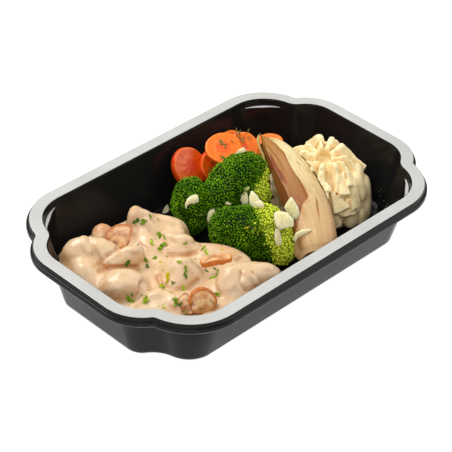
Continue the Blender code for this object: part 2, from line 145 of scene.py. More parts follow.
def noise3(p, seed=0):
    """Smooth noise at points (..., 3), about -1 to 1."""
    p = np.asarray(p, float)
    i = np.floor(p).astype(np.int64)
    f = p - i
    w = f * f * f * (f * (f * 6 - 15) + 10)
    out = np.zeros(p.shape[:-1])
    for dx in (0, 1):
        for dy in (0, 1):
            for dz in (0, 1):
                g = GRADS[scramble(i[..., 0] + dx, i[..., 1] + dy, i[..., 2] + dz, seed) & 15]
                k = (w[..., 0] if dx else 1 - w[..., 0]) * (w[..., 1] if dy else 1 - w[..., 1]) * (w[..., 2] if dz else 1 - w[..., 2])
                out += k * (g[..., 0] * (f[..., 0] - dx) + g[..., 1] * (f[..., 1] - dy) + g[..., 2] * (f[..., 2] - dz))
    return out


def near_line(u, v, line, width):
    """1 on a drawn line through frame units, falling to 0 at width from it."""
    best = np.full(np.shape(u), 1e9)
    for (ax, ay), (bx, by) in zip(line[:-1], line[1:]):
        ex, ey = bx - ax, by - ay
        t = np.clip(((u - ax) * ex + (v - ay) * ey) / (ex * ex + ey * ey + 1e-12), 0, 1)
        best = np.minimum(best, np.hypot(u - ax - ex * t, v - ay - ey * t))
    return 1 - smooth01(best / width)


def noise_grid(axes, size, seed, skip=4):
    """noise3 over a regular grid, worked out on a coarser one and filled in between."""
    coarse = [np.arange(a[0], a[-1] + (a[1] - a[0]) * (skip + 1), (a[1] - a[0]) * skip) for a in axes]
    f = noise3(np.stack(np.meshgrid(*coarse, indexing="ij"), -1) / size, seed)
    for k, (a, c) in enumerate(zip(axes, coarse)):
        at = (a - c[0]) / (c[1] - c[0])
        i = np.minimum(at.astype(int), len(c) - 2)
        t = (at - i).reshape([-1 if q == k else 1 for q in range(3)])
        f = np.take(f, i, k) * (1 - t) + np.take(f, i + 1, k) * t
    return f


def fbm(p, octaves=3, seed=0):
    out, scale, gain = 0.0, 1.0, 1.0
    for k in range(octaves):
        out = out + gain * noise3(np.asarray(p) * scale, seed + k)
        scale, gain = scale * 2.03, gain * 0.5
    return out


def cells(p, seed=0):
    """Distance to the nearest and second nearest scattered point, and a number in 0..1 for the nearest one's cell."""
    p = np.asarray(p, float)
    i = np.floor(p).astype(np.int64)
    d1 = np.full(p.shape[:-1], 9.0)
    d2 = np.full(p.shape[:-1], 9.0)
    who = np.zeros(p.shape[:-1])
    for dx in (-1, 0, 1):
        for dy in (-1, 0, 1):
            for dz in (-1, 0, 1):
                j = i + np.array([dx, dy, dz])
                q = np.stack([(scramble(j[..., 0], j[..., 1], j[..., 2], seed + s) & 1023) / 1023.0 for s in (11, 37, 71)], -1)
                d = np.linalg.norm(j + 0.15 + 0.7 * q - p, axis=-1)
                near = d < d1
                d2 = np.where(near, d1, np.minimum(d2, d))
                who = np.where(near, (scramble(j[..., 0], j[..., 1], j[..., 2], seed + 5) & 1023) / 1023.0, who)
                d1 = np.where(near, d, d1)
    return d1, d2, who


def soft_min(a, b, k):
    h = np.clip(0.5 + 0.5 * (b - a) / k, 0, 1)
    return b * (1 - h) + a * h - k * h * (1 - h)


def soft_max(a, b, k):
    return -soft_min(-a, -b, k)


def surface_net(f, lo, step):
    """Closed quad mesh of the zero level of f, sampled on a grid from lo; f < 0 is inside."""
    shape = f.shape
    cell = tuple(s - 1 for s in shape)
    total, count = np.zeros(cell + (3,)), np.zeros(cell)
    crossings = []
    for axis in range(3):
        a, b = [slice(None)] * 3, [slice(None)] * 3
        a[axis], b[axis] = slice(0, -1), slice(1, None)
        fa, fb = f[tuple(a)], f[tuple(b)]
        cross = (fa < 0) != (fb < 0)
        t = np.where(cross, fa / np.where(cross, fa - fb, 1.0), 0.0)
        crossings.append((cross, fa < 0))
        o0, o1 = [k for k in range(3) if k != axis]
        for s0 in (0, 1):
            for s1 in (0, 1):
                sl = [slice(None)] * 3
                sl[o0], sl[o1] = slice(s0, shape[o0] - 1 + s0), slice(s1, shape[o1] - 1 + s1)
                c = cross[tuple(sl)]
                count += c
                total[..., axis] += t[tuple(sl)]
                total[..., o0] += c * s0
                total[..., o1] += c * s1
    active = count > 0
    index = np.full(cell, -1, np.int64)
    index[active] = np.arange(int(active.sum()))
    points = np.asarray(lo) + (np.argwhere(active) + total[active] / count[active][:, None]) * step
    quads = []
    for axis in range(3):
        cross, low_inside = crossings[axis]
        u, v = (axis + 1) % 3, (axis + 2) % 3
        e = np.argwhere(cross)
        e = e[(e[:, u] >= 1) & (e[:, u] <= shape[u] - 2) & (e[:, v] >= 1) & (e[:, v] <= shape[v] - 2)]
        if not len(e):
            continue

        def at(du, dv):
            q = e.copy()
            q[:, u] += du
            q[:, v] += dv
            return index[q[:, 0], q[:, 1], q[:, 2]]

        quad = np.stack([at(-1, -1), at(0, -1), at(0, 0), at(-1, 0)], 1)
        flip = ~low_inside[e[:, 0], e[:, 1], e[:, 2]]
        quad[flip] = quad[flip][:, ::-1]
        quads.append(quad)
    return points, np.concatenate(quads)


def vertex_normals(points, quads):
    a, b, c, d = (points[quads[:, k]] for k in range(4))
    n = np.cross(c - a, d - b)
    out = np.zeros_like(points)
    for k in range(4):
        np.add.at(out, quads[:, k], n)
    return out / (np.linalg.norm(out, axis=1, keepdims=True) + 1e-12)


def edges_of(quads):
    e = np.concatenate([quads[:, [0, 1]], quads[:, [1, 2]], quads[:, [2, 3]], quads[:, [3, 0]]])
    e.sort(axis=1)
    return np.unique(e, axis=0)


def spread(values, edges, n, times=1, keep=0.0):
    """values averaged with their neighbours along the edges, times times."""
    degree = np.bincount(edges.ravel(), minlength=n).astype(float)
    degree = np.maximum(degree, 1)
    for _ in range(times):
        if values.ndim == 1:
            s = np.bincount(edges[:, 0], values[edges[:, 1]], n) + np.bincount(edges[:, 1], values[edges[:, 0]], n)
            values = keep * values + (1 - keep) * s / degree
        else:
            s = np.stack([np.bincount(edges[:, 0], values[edges[:, 1], k], n) + np.bincount(edges[:, 1], values[edges[:, 0], k], n)
                          for k in range(values.shape[1])], 1)
            values = keep * values + (1 - keep) * s / degree[:, None]
    return values


def hollowness(points, normals, edges, times):
    """Above 0 in a hollow and below 0 on a ridge, in millimetres, at the scale of that many edge lengths."""
    flat = spread(points, edges, len(points), times, keep=0.3)
    return ((flat - points) * normals).sum(1)


# =====================================================================================
# meshes and materials
# =====================================================================================
def make(name, points, faces, mats, slot=None, tint=None, replaces=(), angle=None, face_mats=None, coords=None):
    mesh = bpy.data.meshes.new(name)
    faces = faces.tolist() if isinstance(faces, np.ndarray) else [tuple(int(i) for i in f) for f in faces]
    mesh.from_pydata((np.asarray(points, float) * MM).tolist(), [], faces)
    mesh.validate()
    for m in mats if isinstance(mats, (list, tuple)) else [mats]:
        mesh.materials.append(m)
    if face_mats is not None:
        mesh.polygons.foreach_set("material_index", np.asarray(face_mats, np.int32))
    if tint is not None:
        rgba = np.ones((len(points), 4), np.float32)
        rgba[:, :3] = np.clip(tint, 0, 1)
        mesh.attributes.new("tint", "FLOAT_COLOR", "POINT").data.foreach_set("color", rgba.ravel())
    if coords is not None:
        mesh.attributes.new("local", "FLOAT_VECTOR", "POINT").data.foreach_set("vector", np.asarray(coords, np.float32).ravel())
    mesh.shade_smooth()
    if angle is not None:
        mesh.set_sharp_from_angle(angle=math.radians(angle))
    obj = bpy.data.objects.new(name, mesh)
    bpy.context.scene.collection.objects.link(obj)
    if slot:
        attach(obj, "root")
    if replaces:
        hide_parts(*replaces)
    return obj


class Nodes:
    """Short calls for building one material's nodes."""

    def __init__(self, name):
        self.mat = bpy.data.materials.new(name)
        self.mat.use_nodes = True
        self.tree = self.mat.node_tree
        self.shader = self.tree.nodes["Principled BSDF"]
        self.where = self.tree.nodes.new("ShaderNodeTexCoord").outputs["Object"]

    def link(self, a, b):
        self.tree.links.new(a, b)

    def set(self, **sockets):
        for k, v in sockets.items():
            s = self.shader.inputs[k.replace("_", " ")]
            if hasattr(v, "is_output"):
                self.link(v, s)
            else:
                s.default_value = v

    def noise(self, size, detail=3.0, rough=0.5, distort=0.0, where=None, stretch=None):
        """Noise whose features are size millimetres across."""
        n = self.tree.nodes.new("ShaderNodeTexNoise")
        n.inputs["Scale"].default_value = 1000.0 / size if stretch is None else 1.0
        n.inputs["Detail"].default_value = detail
        n.inputs["Roughness"].default_value = rough
        n.inputs["Distortion"].default_value = distort
        source = where or self.where
        if stretch is not None:
            m = self.tree.nodes.new("ShaderNodeMapping")
            m.inputs["Scale"].default_value = stretch
            self.link(source, m.inputs["Vector"])
            source = m.outputs["Vector"]
        self.link(source, n.inputs["Vector"])
        return n.outputs["Fac"]

    def spots(self, size, where=None):
        n = self.tree.nodes.new("ShaderNodeTexVoronoi")
        n.inputs["Scale"].default_value = 1000.0 / size
        self.link(where or self.where, n.inputs["Vector"])
        return n.outputs["Distance"]

    def attribute(self, name, out="Color"):
        n = self.tree.nodes.new("ShaderNodeAttribute")
        n.attribute_name = name
        return n.outputs[out]

    def ramp(self, value, low, high, to_low=0.0, to_high=1.0):
        n = self.tree.nodes.new("ShaderNodeMapRange")
        n.inputs["From Min"].default_value, n.inputs["From Max"].default_value = low, high
        n.inputs["To Min"].default_value, n.inputs["To Max"].default_value = to_low, to_high
        self.link(value, n.inputs["Value"])
        return n.outputs["Result"]

    def mix(self, fac, a, b, mode="MIX"):
        n = self.tree.nodes.new("ShaderNodeMix")
        n.data_type, n.blend_type = "RGBA", mode
        for value, socket in ((fac, n.inputs[0]), (a, n.inputs[6]), (b, n.inputs[7])):
            if hasattr(value, "is_output"):
                self.link(value, socket)
            elif socket.type == "RGBA":
                socket.default_value = (*[float(c) for c in value], 1.0)
            else:
                socket.default_value = value
        return n.outputs[2]

    def bump(self, height, strength, distance, under=None):
        n = self.tree.nodes.new("ShaderNodeBump")
        n.inputs["Strength"].default_value = strength
        n.inputs["Distance"].default_value = distance * MM
        self.link(height, n.inputs["Height"])
        if under is not None:
            self.link(under, n.inputs["Normal"])
        return n.outputs["Normal"]


def tray_black():
    m = Nodes("tray_black")
    patch = m.noise(26.0, 3.0)
    m.set(Base_Color=m.mix(patch, (0.006, 0.006, 0.0062), (0.011, 0.0106, 0.010)),
          Roughness=m.ramp(m.noise(9.0, 3.0), 0.3, 0.7, 0.17, 0.26), Specular_IOR_Level=0.13,
          Normal=m.bump(m.noise(3.2, 3.0), 0.10, 0.25))
    return m.mat


# light grey for the rim's top and the lobes' ledges: a painted reflection of the lamps on the black plastic
def tray_rim_reflection_paint():
    m = Nodes("tray_rim_painted_reflection")
    m.set(Base_Color=m.mix(m.ramp(m.noise(34.0, 2.0), 0.35, 0.65), lin(180, 180, 177), lin(188, 188, 185)),
          Roughness=m.ramp(m.noise(2.2, 3.0), 0.3, 0.7, 0.40, 0.50), Specular_IOR_Level=0.3,
          Normal=m.bump(m.noise(1.1, 2.0), 0.08, 0.1))
    return m.mat


def tray_lip_highlight_paint():
    """The lighter thin edge at the foot of the lip: a painted highlight."""
    m = Nodes("tray_lip_painted_highlight")
    m.set(Base_Color=m.mix(m.ramp(m.noise(6.0, 3.0), 0.4, 0.6), (0.05, 0.05, 0.05), (0.16, 0.155, 0.15)), Roughness=0.3)
    return m.mat


def sauce_cream():
    m = Nodes("cream_sauce_glossy")
    tint = m.attribute("tint")
    speck = m.ramp(m.spots(3.1), 0.05, 0.13, 1.0, 0.0)
    some = m.ramp(m.noise(5.0, 2.0), 0.52, 0.62)
    both = m.tree.nodes.new("ShaderNodeMath")
    both.operation = "MULTIPLY"
    m.link(speck, both.inputs[0])
    m.link(some, both.inputs[1])
    cloudy = m.mix(m.ramp(m.noise(7.0, 4.0), 0.36, 0.66, 0.0, 0.55), tint, m.mix(0.45, tint, lin(200, 150, 92)), "MIX")
    m.set(Base_Color=m.mix(both.outputs[0], cloudy, lin(150, 92, 50)),
          Roughness=m.ramp(m.noise(6.0, 3.0), 0.3, 0.7, 0.26, 0.42),
          Subsurface_Weight=0.12, Subsurface_Radius=(1.0, 0.65, 0.4), Subsurface_Scale=0.002,
          Coat_Weight=0.15, Coat_Roughness=0.14, Specular_IOR_Level=0.36,
          Normal=m.bump(m.noise(1.5, 3.0), 0.22, 0.35, m.bump(m.noise(4.5, 2.0), 0.25, 0.9)))
    return m.mat


def food(name, rough=(0.35, 0.5), sss=0.15, scale=0.002, radius=(1.0, 0.6, 0.3), bump=(0.2, 0.3, 1.2), coat=0.2,
         vary=0.12, vary_size=3.0, coat_rough=0.15, spec=0.5, glassy=0.0):
    """A material that takes its colour from the mesh's own tint, with fine mottling, sheen and bumps."""
    m = Nodes(name)
    tint = m.attribute("tint")
    dark = m.mix(vary * 2, tint, (0.0, 0.0, 0.0))
    m.set(Base_Color=m.mix(m.ramp(m.noise(vary_size, 4.0), 0.3, 0.7), dark, tint),
          Roughness=m.ramp(m.noise(vary_size * 1.7, 3.0), 0.3, 0.7, *rough),
          Coat_Weight=coat, Coat_Roughness=coat_rough, Specular_IOR_Level=spec,
          Normal=m.bump(m.noise(bump[2], 3.0), bump[0], bump[1]))
    if glassy:
        m.set(Transmission_Weight=glassy, IOR=1.36)
    if sss:
        m.set(Subsurface_Weight=sss, Subsurface_Radius=radius, Subsurface_Scale=scale)
    return m.mat


# =====================================================================================
# tray
# =====================================================================================
RIM_L, RIM_W = 237.9, 150.0
LOBE1_R, LOBE1_A = 33.3, 46.4
LOBE2_R, LOBE2_B = 27.8, 50.6
NOTCH_R = 3.0


def outline(offset, ledge=0.0, n1=30, nn=10, n2=26):
    """Closed loop of (x, y), offset inwards from the rim's outer edge."""
    c1 = (RIM_L / 2 - LOBE1_A, RIM_W / 2 - LOBE1_R)
    c2 = (RIM_L / 2 - LOBE2_R, RIM_W / 2 - LOBE2_B)
    ra, rb = LOBE1_R + NOTCH_R, LOBE2_R + NOTCH_R
    dx, dy = c2[0] - c1[0], c2[1] - c1[1]
    d = math.hypot(dx, dy)
    along = (ra * ra - rb * rb + d * d) / (2 * d)
    high = math.sqrt(ra * ra - along * along)
    f = (c1[0] + along * dx / d - high * dy / d, c1[1] + along * dy / d + high * dx / d)
    t1 = math.atan2(f[1] - c1[1], f[0] - c1[0])
    t2 = math.atan2(f[1] - c2[1], f[0] - c2[0])
    q = []
    for i in range(n1 + 1):
        t = math.pi / 2 + (t1 - math.pi / 2) * i / n1
        r = LOBE1_R - offset - ledge * math.sin(math.pi * i / n1) ** 2
        q.append((c1[0] + r * math.cos(t), c1[1] + r * math.sin(t)))
    u1 = math.atan2(c1[1] - f[1], c1[0] - f[0])
    u2 = math.atan2(c2[1] - f[1], c2[0] - f[0])
    turn = (u2 - u1 + math.pi) % (2 * math.pi) - math.pi
    for i in range(1, nn):
        u = u1 + turn * i / nn
        q.append((f[0] + (NOTCH_R + offset) * math.cos(u), f[1] + (NOTCH_R + offset) * math.sin(u)))
    for i in range(n2 + 1):
        t = t2 * (1 - i / n2)
        q.append((c2[0] + (LOBE2_R - offset) * math.cos(t), c2[1] + (LOBE2_R - offset) * math.sin(t)))
    loop = list(q) + [(x, -y) for x, y in reversed(q)] + [(-x, -y) for x, y in q] + [(-x, y) for x, y in reversed(q)]
    return loop


def inner_offset(z):
    """How far the wall's inner face lies inside the rim's outer edge at height z."""
    return 8.4 + 8.3 * np.clip((39.0 - z) / 35.8, 0.0, 1.06)


def inside_depth(x, y):
    """Distance of (x, y) inside the rim's outer edge, for arrays."""
    loop = np.array(outline(0.0, 0.0, 16, 5, 14))
    a, b = loop, np.roll(loop, -1, 0)
    best = np.full(np.shape(x), 1e9)
    cross = np.zeros(np.shape(x), bool)
    for (ax, ay), (bx, by) in zip(a, b):
        ex, ey = bx - ax, by - ay
        t = np.clip(((x - ax) * ex + (y - ay) * ey) / (ex * ex + ey * ey + 1e-12), 0, 1)
        best = np.minimum(best, np.hypot(x - ax - ex * t, y - ay - ey * t))
        if ay != by:
            hit = ((ay > y) != (by > y)) & (x < (bx - ax) * (y - ay) / (by - ay) + ax)
            cross ^= hit
    return np.where(cross, best, -best)


def tray():
    ledge_z, ledge_in, sheet = 35.8, 2.6, 0.8
    out = lambda z: float(inner_offset(z)) - sheet
    inn = lambda z: float(inner_offset(z))
    rings = [(30.0, 0.35, 0), (21.0, 0.3, 0), (19.2, 0.0, 0), (18.3, 0.15, 0), (17.2, 0.8, 0), (16.5, 1.7, 0), (16.1, 3.2, 0),
             (out(12.0), 12.0, 0), (out(22.0), 22.0, 0), (out(28.0), 28.0, ledge_in * 0.25), (out(33.6), 33.6, ledge_in * 0.9),
             (out(34.5), 34.5, ledge_in), (out(35.0), 34.8, ledge_in * 0.8), (out(35.4), 35.1, 0.0), (out(37.0), 37.0, 0),
             (out(38.6), 38.6, 0), (7.35, 39.05, 0), (7.0, 39.2, 0),
             (1.2, 39.2, 0), (0.95, 39.0, 0), (0.80, 38.4, 0), (0.70, 37.4, 0), (0.35, 36.95, 0), (-0.45, 36.75, 0), (-0.62, 36.4, 0),
             (-0.70, 34.95, 0), (-0.80, 34.75, 0), (-1.25, 34.68, 0), (-1.45, 34.8, 0), (-1.50, 35.1, 0), (-1.42, 36.9, 0),
             (-1.25, 37.35, 0), (-0.9, 37.55, 0), (-0.2, 37.7, 0), (-0.04, 38.0, 0), (0.0, 39.3, 0), (0.12, 39.75, 0), (0.45, 39.97, 0),
             (0.9, 40.0, 0), (4.0, 40.0, 0), (7.3, 40.0, 0), (7.75, 39.93, 0), (8.15, 39.6, 0), (8.4, 39.0, 0), (inn(37.4), 37.4, 0),
             (inn(36.3), 36.3, 0), (inn(36.0), 36.05, 0.0), (inn(35.8), 35.82, ledge_in * 0.15), (inn(35.6), 35.72, ledge_in * 0.85),
             (inn(35.3), 35.5, ledge_in), (inn(34.6), 34.6, ledge_in * 0.97), (inn(29.0), 29.0, ledge_in * 0.35),
             (inn(23.0), 23.0, 0.0), (inn(12.0), 12.0, 0.0), (16.75, 4.0, 0), (17.2, 2.6, 0), (18.1, 1.6, 0), (19.6, 1.0, 0),
             (21.5, 0.85, 0), (30.0, 1.05, 0)]
    points, faces, mats = [], [], []
    n = len(outline(0.0))
    for offset, z, ledge in rings:
        points += [(x, y, z) for x, y in outline(offset, ledge)]
    for r in range(len(rings) - 1):
        (o0, z0, l0), (o1, z1, l1) = rings[r], rings[r + 1]
        # the rim's top and the wide faces of the lobes' ledges take the painted reflection material
        rim_top = z0 >= 39.9 and z1 >= 39.9
        # faces at the foot of the lip take the painted highlight material
        foot = z0 < 35.2 and z1 < 35.2 and o0 < -0.75 and o1 < -0.75
        shelf = o0 > 8 and 35.4 < z0 < 36.1 and z1 < 35.9 and z1 > 35.4
        for i in range(n):
            j = (i + 1) % n
            faces.append((r * n + i, r * n + j, (r + 1) * n + j, (r + 1) * n + i))
            wide = math.hypot(points[r * n + i][0] - points[(r + 1) * n + i][0], points[r * n + i][1] - points[(r + 1) * n + i][1])
            mats.append(1 if rim_top else 2 if foot else 1 if shelf and wide > 0.5 else 0)
    # floor, inside and under: fans to the middle
    points += [(0, 0, 0.4), (0, 0, 1.1)]
    last = (len(rings) - 1) * n
    for i in range(n):
        j = (i + 1) % n
        faces.append((j, i, len(points) - 2))
        faces.append((last + i, last + j, len(points) - 1))
        mats += [0, 0]
    faces = [tuple(reversed(f)) for f in faces]
    return make("tray_body", points, faces, [tray_black(), tray_rim_reflection_paint(), tray_lip_highlight_paint()], "tray", replaces=["tray"], angle=50,
                face_mats=mats)


tray()


# =====================================================================================
# sauced chicken
# =====================================================================================
def turned(turn, tilt):
    """Rotation matrix: about Z by turn, after the long axis rises by tilt, in degrees."""
    a, b = math.radians(turn), math.radians(-tilt)
    rz = np.array([[math.cos(a), -math.sin(a), 0], [math.sin(a), math.cos(a), 0], [0, 0, 1]])
    ry = np.array([[math.cos(b), 0, math.sin(b)], [0, 1, 0], [-math.sin(b), 0, math.cos(b)]])
    return rz @ ry


def egg(p, centre, radii, turn=0.0, tilt=0.0):
    """Distance-like value of an ellipsoid, below 0 inside."""
    q = (p - np.asarray(centre, float)) @ turned(turn, tilt)
    r = np.asarray(radii, float)
    k0 = np.linalg.norm(q / r, axis=-1)
    k1 = np.linalg.norm(q / (r * r), axis=-1)
    return k0 * (k0 - 1) / np.maximum(k1, 1e-6)


# centre, radii, turn, tilt of the lumps under the sauce, and how softly each lot runs together
LUMPS = [
    (5.0, [((-84.0, 33.0, 21.0), (13.0, 10.5, 13.0), -46, 0), ((-77.5, 25.5, 22.0), (12.5, 9.0, 12.0), -60, 6),
           ((-93.0, 23.0, 18.0), (8.5, 11.0, 11.0), -30, 0), ((-90.0, 10.5, 16.0), (8.5, 10.0, 9.0), -20, 0)]),
    (3.0, [((-64.5, 37.5, 24.4), (6.2, 6.2, 6.4), 0, 0)]),
    (6.0, [((-38.5, 33.0, 18.0), (9.4, 8.6, 12.6), -46, 0), ((-41.5, 35.6, 29.0), (4.2, 3.6, 6.6), -46, 0),
           ((-27.0, 23.5, 15.4), (12.4, 10.0, 10.4), -46, -8), ((-43.0, 25.0, 16.0), (9.0, 9.0, 9.6), -30, 0),
           ((-48.5, 15.5, 15.0), (7.5, 7.0, 8.0), -30, 0)]),
    (3.5, [((-76.0, 13.6, 24.4), (7.0, 4.8, 5.4), -20, 4), ((-66.0, 11.6, 25.2), (8.4, 6.0, 6.8), -14, 6)]),
    (4.0, [((-85.6, -0.8, 21.6), (12.2, 10.6, 10.8), -46, 0), ((-82.0, -3.5, 20.0), (9.0, 8.5, 9.6), -30, 0)]),
    (5.0, [((-52.0, -13.6, 20.2), (11.4, 9.6, 9.8), -46, 0), ((-59.0, -17.5, 17.0), (7.4, 6.4, 7.6), -20, 0)]),
    (4.0, [((-33.6, 4.2, 18.4), (8.4, 6.4, 7.8), -46, 0), ((-38.5, 10.0, 17.4), (9.0, 6.8, 7.8), -46, 0),
           ((-31.0, 11.5, 17.2), (6.8, 6.2, 8.4), -46, 0)]),
    (5.0, [((-21.5, -13.5, 15.0), (11.4, 6.6, 7.6), -46, -4), ((-27.5, -5.0, 15.8), (9.4, 6.8, 6.8), -46, 0), ((-14.5, -22.0, 13.0), (9.0, 6.0, 7.0), -46, -6)]),
    (4.0, [((-37.0, -42.0, 19.4), (12.6, 11.4, 11.4), -25, 0), ((-23.0, -47.5, 18.8), (13.2, 10.2, 11.2), -25, 2),
           ((-29.5, -38.0, 20.0), (13.2, 6.6, 9.8), -34, 0)]),
    (4.0, [((-76.0, -22.0, 15.6), (10.0, 8.0, 7.6), -40, 0), ((-70.0, -30.0, 15.4), (9.0, 7.0, 7.2), -40, 0)]),
]


def sauce():
    step = 0.85
    lo = np.array([-108.0, -64.0, 3.0])
    hi = np.array([-2.0, 60.0, 41.5])
    ax = [np.arange(lo[k], hi[k], step) for k in range(3)]
    X, Y, Z = np.meshgrid(*ax, indexing="ij")
    P = np.stack([X, Y, Z], -1)
    warp = np.stack([noise_grid(ax, 13.0, k) for k in (3, 4, 5)], -1)
    Q = P + warp * 1.9
    f = None
    for soft, lot in LUMPS:
        g = None
        for centre, radii, turn, tilt in lot:
            d = egg(Q, centre, radii, turn, tilt)
            g = d if g is None else soft_min(g, d, soft)
        f = g if f is None else soft_min(f, g, 2.2)
    # the pool of sauce between them
    x2, y2 = X[:, :, 0], Y[:, :, 0]
    level = 20.4 + 1.2 * np.sin(x2 * 0.09 + 0.6) * np.cos(y2 * 0.11) + 0.9 * noise3(np.stack([x2 / 9, y2 / 9, 0 * x2], -1), 8)
    edge = [(-112, 53), (-62, 54.0), (-32, 50.0), (-17, 40), (-19.0, 26), (-19.0, 12), (-18.5, 4), (-16.0, -6), (-14.0, -20),
            (-13.5, -30), (-8, -42), (-4, -57), (-4, -80), (-112, -80)]
    far = polygon_depth(x2, y2, edge)
    level = level - 6.0 * (1 - smooth01(far / 9.0)) + 0.5 * smooth01(1 - np.abs(inside_depth(x2, y2) - 13.0) / 4.0)
    pool = (Z - level[:, :, None]) * 0.9
    pool = soft_max(pool, -far[:, :, None] + 0.6 * noise_grid(ax, 6.0, 9, 2), 4.0)
    f = soft_min(f, pool, 4.6)
    # it stays inside the tray and on the tray's floor
    depth = inside_depth(x2, y2)[:, :, None]
    f = np.maximum(f, inner_offset(Z) + 0.35 - depth)
    f = np.maximum(f, -far[:, :, None] - 3.5)
    points, quads = surface_net(f, lo, step)
    edges = edges_of(quads)
    n = len(points)
    points = spread(points, edges, n, 3, keep=0.3)
    normals = vertex_normals(points, quads)
    hollow = hollowness(points, normals, edges, 14)
    # folds drawn on it: ridges stand out, valleys sink
    u, v = project(points)
    facing = smooth01(-((points - EYE) * normals).sum(1) / np.linalg.norm(points - EYE, axis=1) * 4)
    push = np.zeros(n)
    for line, width, amount in FOLDS:
        push += amount * near_line(u, v, [low(*q) for q in line], width / 6.03) * facing
    on_meat = smooth01((points[:, 2] - 21.0) / 5.0)
    folds = np.clip(1 - np.abs(noise3(points * np.array([0.09, 0.13, 0.11]) + 7.0, 12)) * 2.4, -0.5, 1)
    push += 0.26 * on_meat * folds + 0.22 * fbm(points / 6.5, 2, 21) + 0.05 * fbm(points * 0.9, 2, 31)
    points = points + normals * push[:, None]
    points = spread(points, edges, n, 1, keep=0.6)
    normals = vertex_normals(points, quads)
    fine = hollowness(points, normals, edges, 6)
    cream, tan, brown = lin(222, 192, 155), lin(192, 144, 96), lin(150, 92, 46)
    # tan in the hollows and on the sloping sides, and brown on the steep sides: painted shade, partly the chicken's own
    # tan
    t = smooth01(0.10 + hollow * 0.30 + fine * 0.8 + 0.26 * noise3(points / 9.0, 41) + 0.55 * (1 - normals[:, 2]))
    tint = cream * (1 - t[:, None]) + tan * t[:, None]
    t2 = smooth01((0.42 - normals[:, 2]) * 1.2 + 0.25 * noise3(points / 6.0, 43)) * 0.55
    tint = tint * (1 - t2[:, None]) + brown * t2[:, None]
    fleck = cells(points / 3.4, 55)
    k = (smooth01((0.17 - fleck[0]) / 0.06) * (fleck[2] < 0.3) * 0.45)[:, None]
    tint = tint * (1 - k) + lin(150, 84, 50) * k
    # tan marks: mostly painted shade, partly the sauce's own tan
    for line, width, colour, amount in TAN_AND_PAINTED_SHADE:
        k = (near_line(u, v, [low(*q) for q in line], width / 6.03) * facing * amount)[:, None]
        tint = tint * (1 - k) + colour * k
    names = [n_ for n_ in frame["nodes"] if n_.startswith("chicken_")] + ["sauce", "mushroom_button"]
    return make("sauced_chicken", points, quads, sauce_cream(), "sauce", tint, sorted(names))


# drawn lines in the chicken's close-up: points, width, height in millimetres
FOLDS = [
    ([(640, 190), (700, 238), (760, 270), (830, 290), (905, 290), (948, 298)], 34, 1.6), ([(640, 120), (700, 160), (770, 175), (830, 205), (858, 250)], 30, 1.0),
    ([(560, 150), (545, 200), (560, 250)], 30, 0.8), ([(264, 290), (268, 330), (292, 372)], 34, 1.0), ([(330, 310), (352, 345), (382, 398)], 30, 0.8),
    ([(392, 440), (450, 392), (520, 356), (580, 366)], 26, 1.0),
    ([(1100, 480), (1190, 458), (1320, 456), (1400, 470)], 30, 0.7), ([(1238, 500), (1284, 535), (1310, 570)], 26, 1.1),
    ([(560, 700), (640, 655), (715, 612)], 30, 1.2), ([(700, 640), (760, 622), (800, 640)], 24, 0.8), ([(760, 430), (820, 412), (900, 420)], 30, 0.8),
    ([(470, 505), (540, 492), (590, 530)], 30, 0.7), ([(620, 520), (640, 570), (650, 620)], 30, 0.8),
    # valleys
    ([(360, 490), (420, 470), (500, 468), (590, 470)], 24, -1.5), ([(782, 388), (870, 395), (945, 375), (985, 318)], 24, -1.6),
    ([(716, 520), (728, 575), (800, 606), (900, 590), (955, 545)], 26, -1.3), ([(1058, 500), (1052, 570), (1084, 640)], 26, -1.0),
    ([(1212, 500), (1204, 560), (1240, 612)], 18, -1.2), ([(600, 330), (690, 380), (760, 400)], 26, -0.8), ([(300, 300), (312, 360), (330, 410)], 22, -0.6),
    ([(400, 400), (440, 380), (470, 350)], 22, -1.2), ([(612, 560), (604, 620), (560, 668)], 22, -1.3), ([(660, 250), (700, 290), (760, 330)], 24, -1.0),
    ([(856, 262), (890, 275), (940, 288)], 18, -0.6), ([(1210, 410), (1130, 460), (1060, 470)], 20, -0.8),
]
# tan marks drawn in the chicken's close-up: points, width, colour, amount; mostly painted shade in the valleys, under
# the ball and on shaded sides, some the tan of what lies under the sauce
TAN_AND_PAINTED_SHADE = [
    ([(520, 130), (560, 96), (620, 92)], 26, lin(200, 140, 86), 0.55), ([(700, 530), (735, 560)], 30, lin(196, 122, 70), 0.6),
    ([(800, 395), (880, 392), (940, 372)], 18, lin(190, 122, 74), 0.5), ([(395, 455), (450, 470)], 22, lin(214, 150, 102), 0.6),
    ([(372, 590), (400, 560)], 26, lin(204, 140, 90), 0.5), ([(1235, 600), (1300, 575)], 30, lin(206, 142, 92), 0.5),
    ([(1278, 494), (1284, 498)], 12, lin(120, 80, 74), 0.8), ([(1205, 490), (1212, 500)], 12, lin(150, 96, 60), 0.6),
    ([(120, 330), (150, 420), (190, 480)], 46, lin(204, 150, 98), 0.5), ([(790, 700), (820, 725)], 22, lin(190, 120, 66), 0.6),
    ([(1000, 300), (1100, 340), (1190, 390)], 40, lin(214, 156, 104), 0.5), ([(330, 200), (380, 185), (430, 205)], 60, lin(196, 138, 86), 0.75), ([(330, 240), (380, 225), (400, 250)], 50, lin(190, 128, 76), 0.7),
]


def low(x, y):
    """A place in the chicken's close-up, in frame units."""
    return 40 + x / 6.03, 190 + y / 6.03


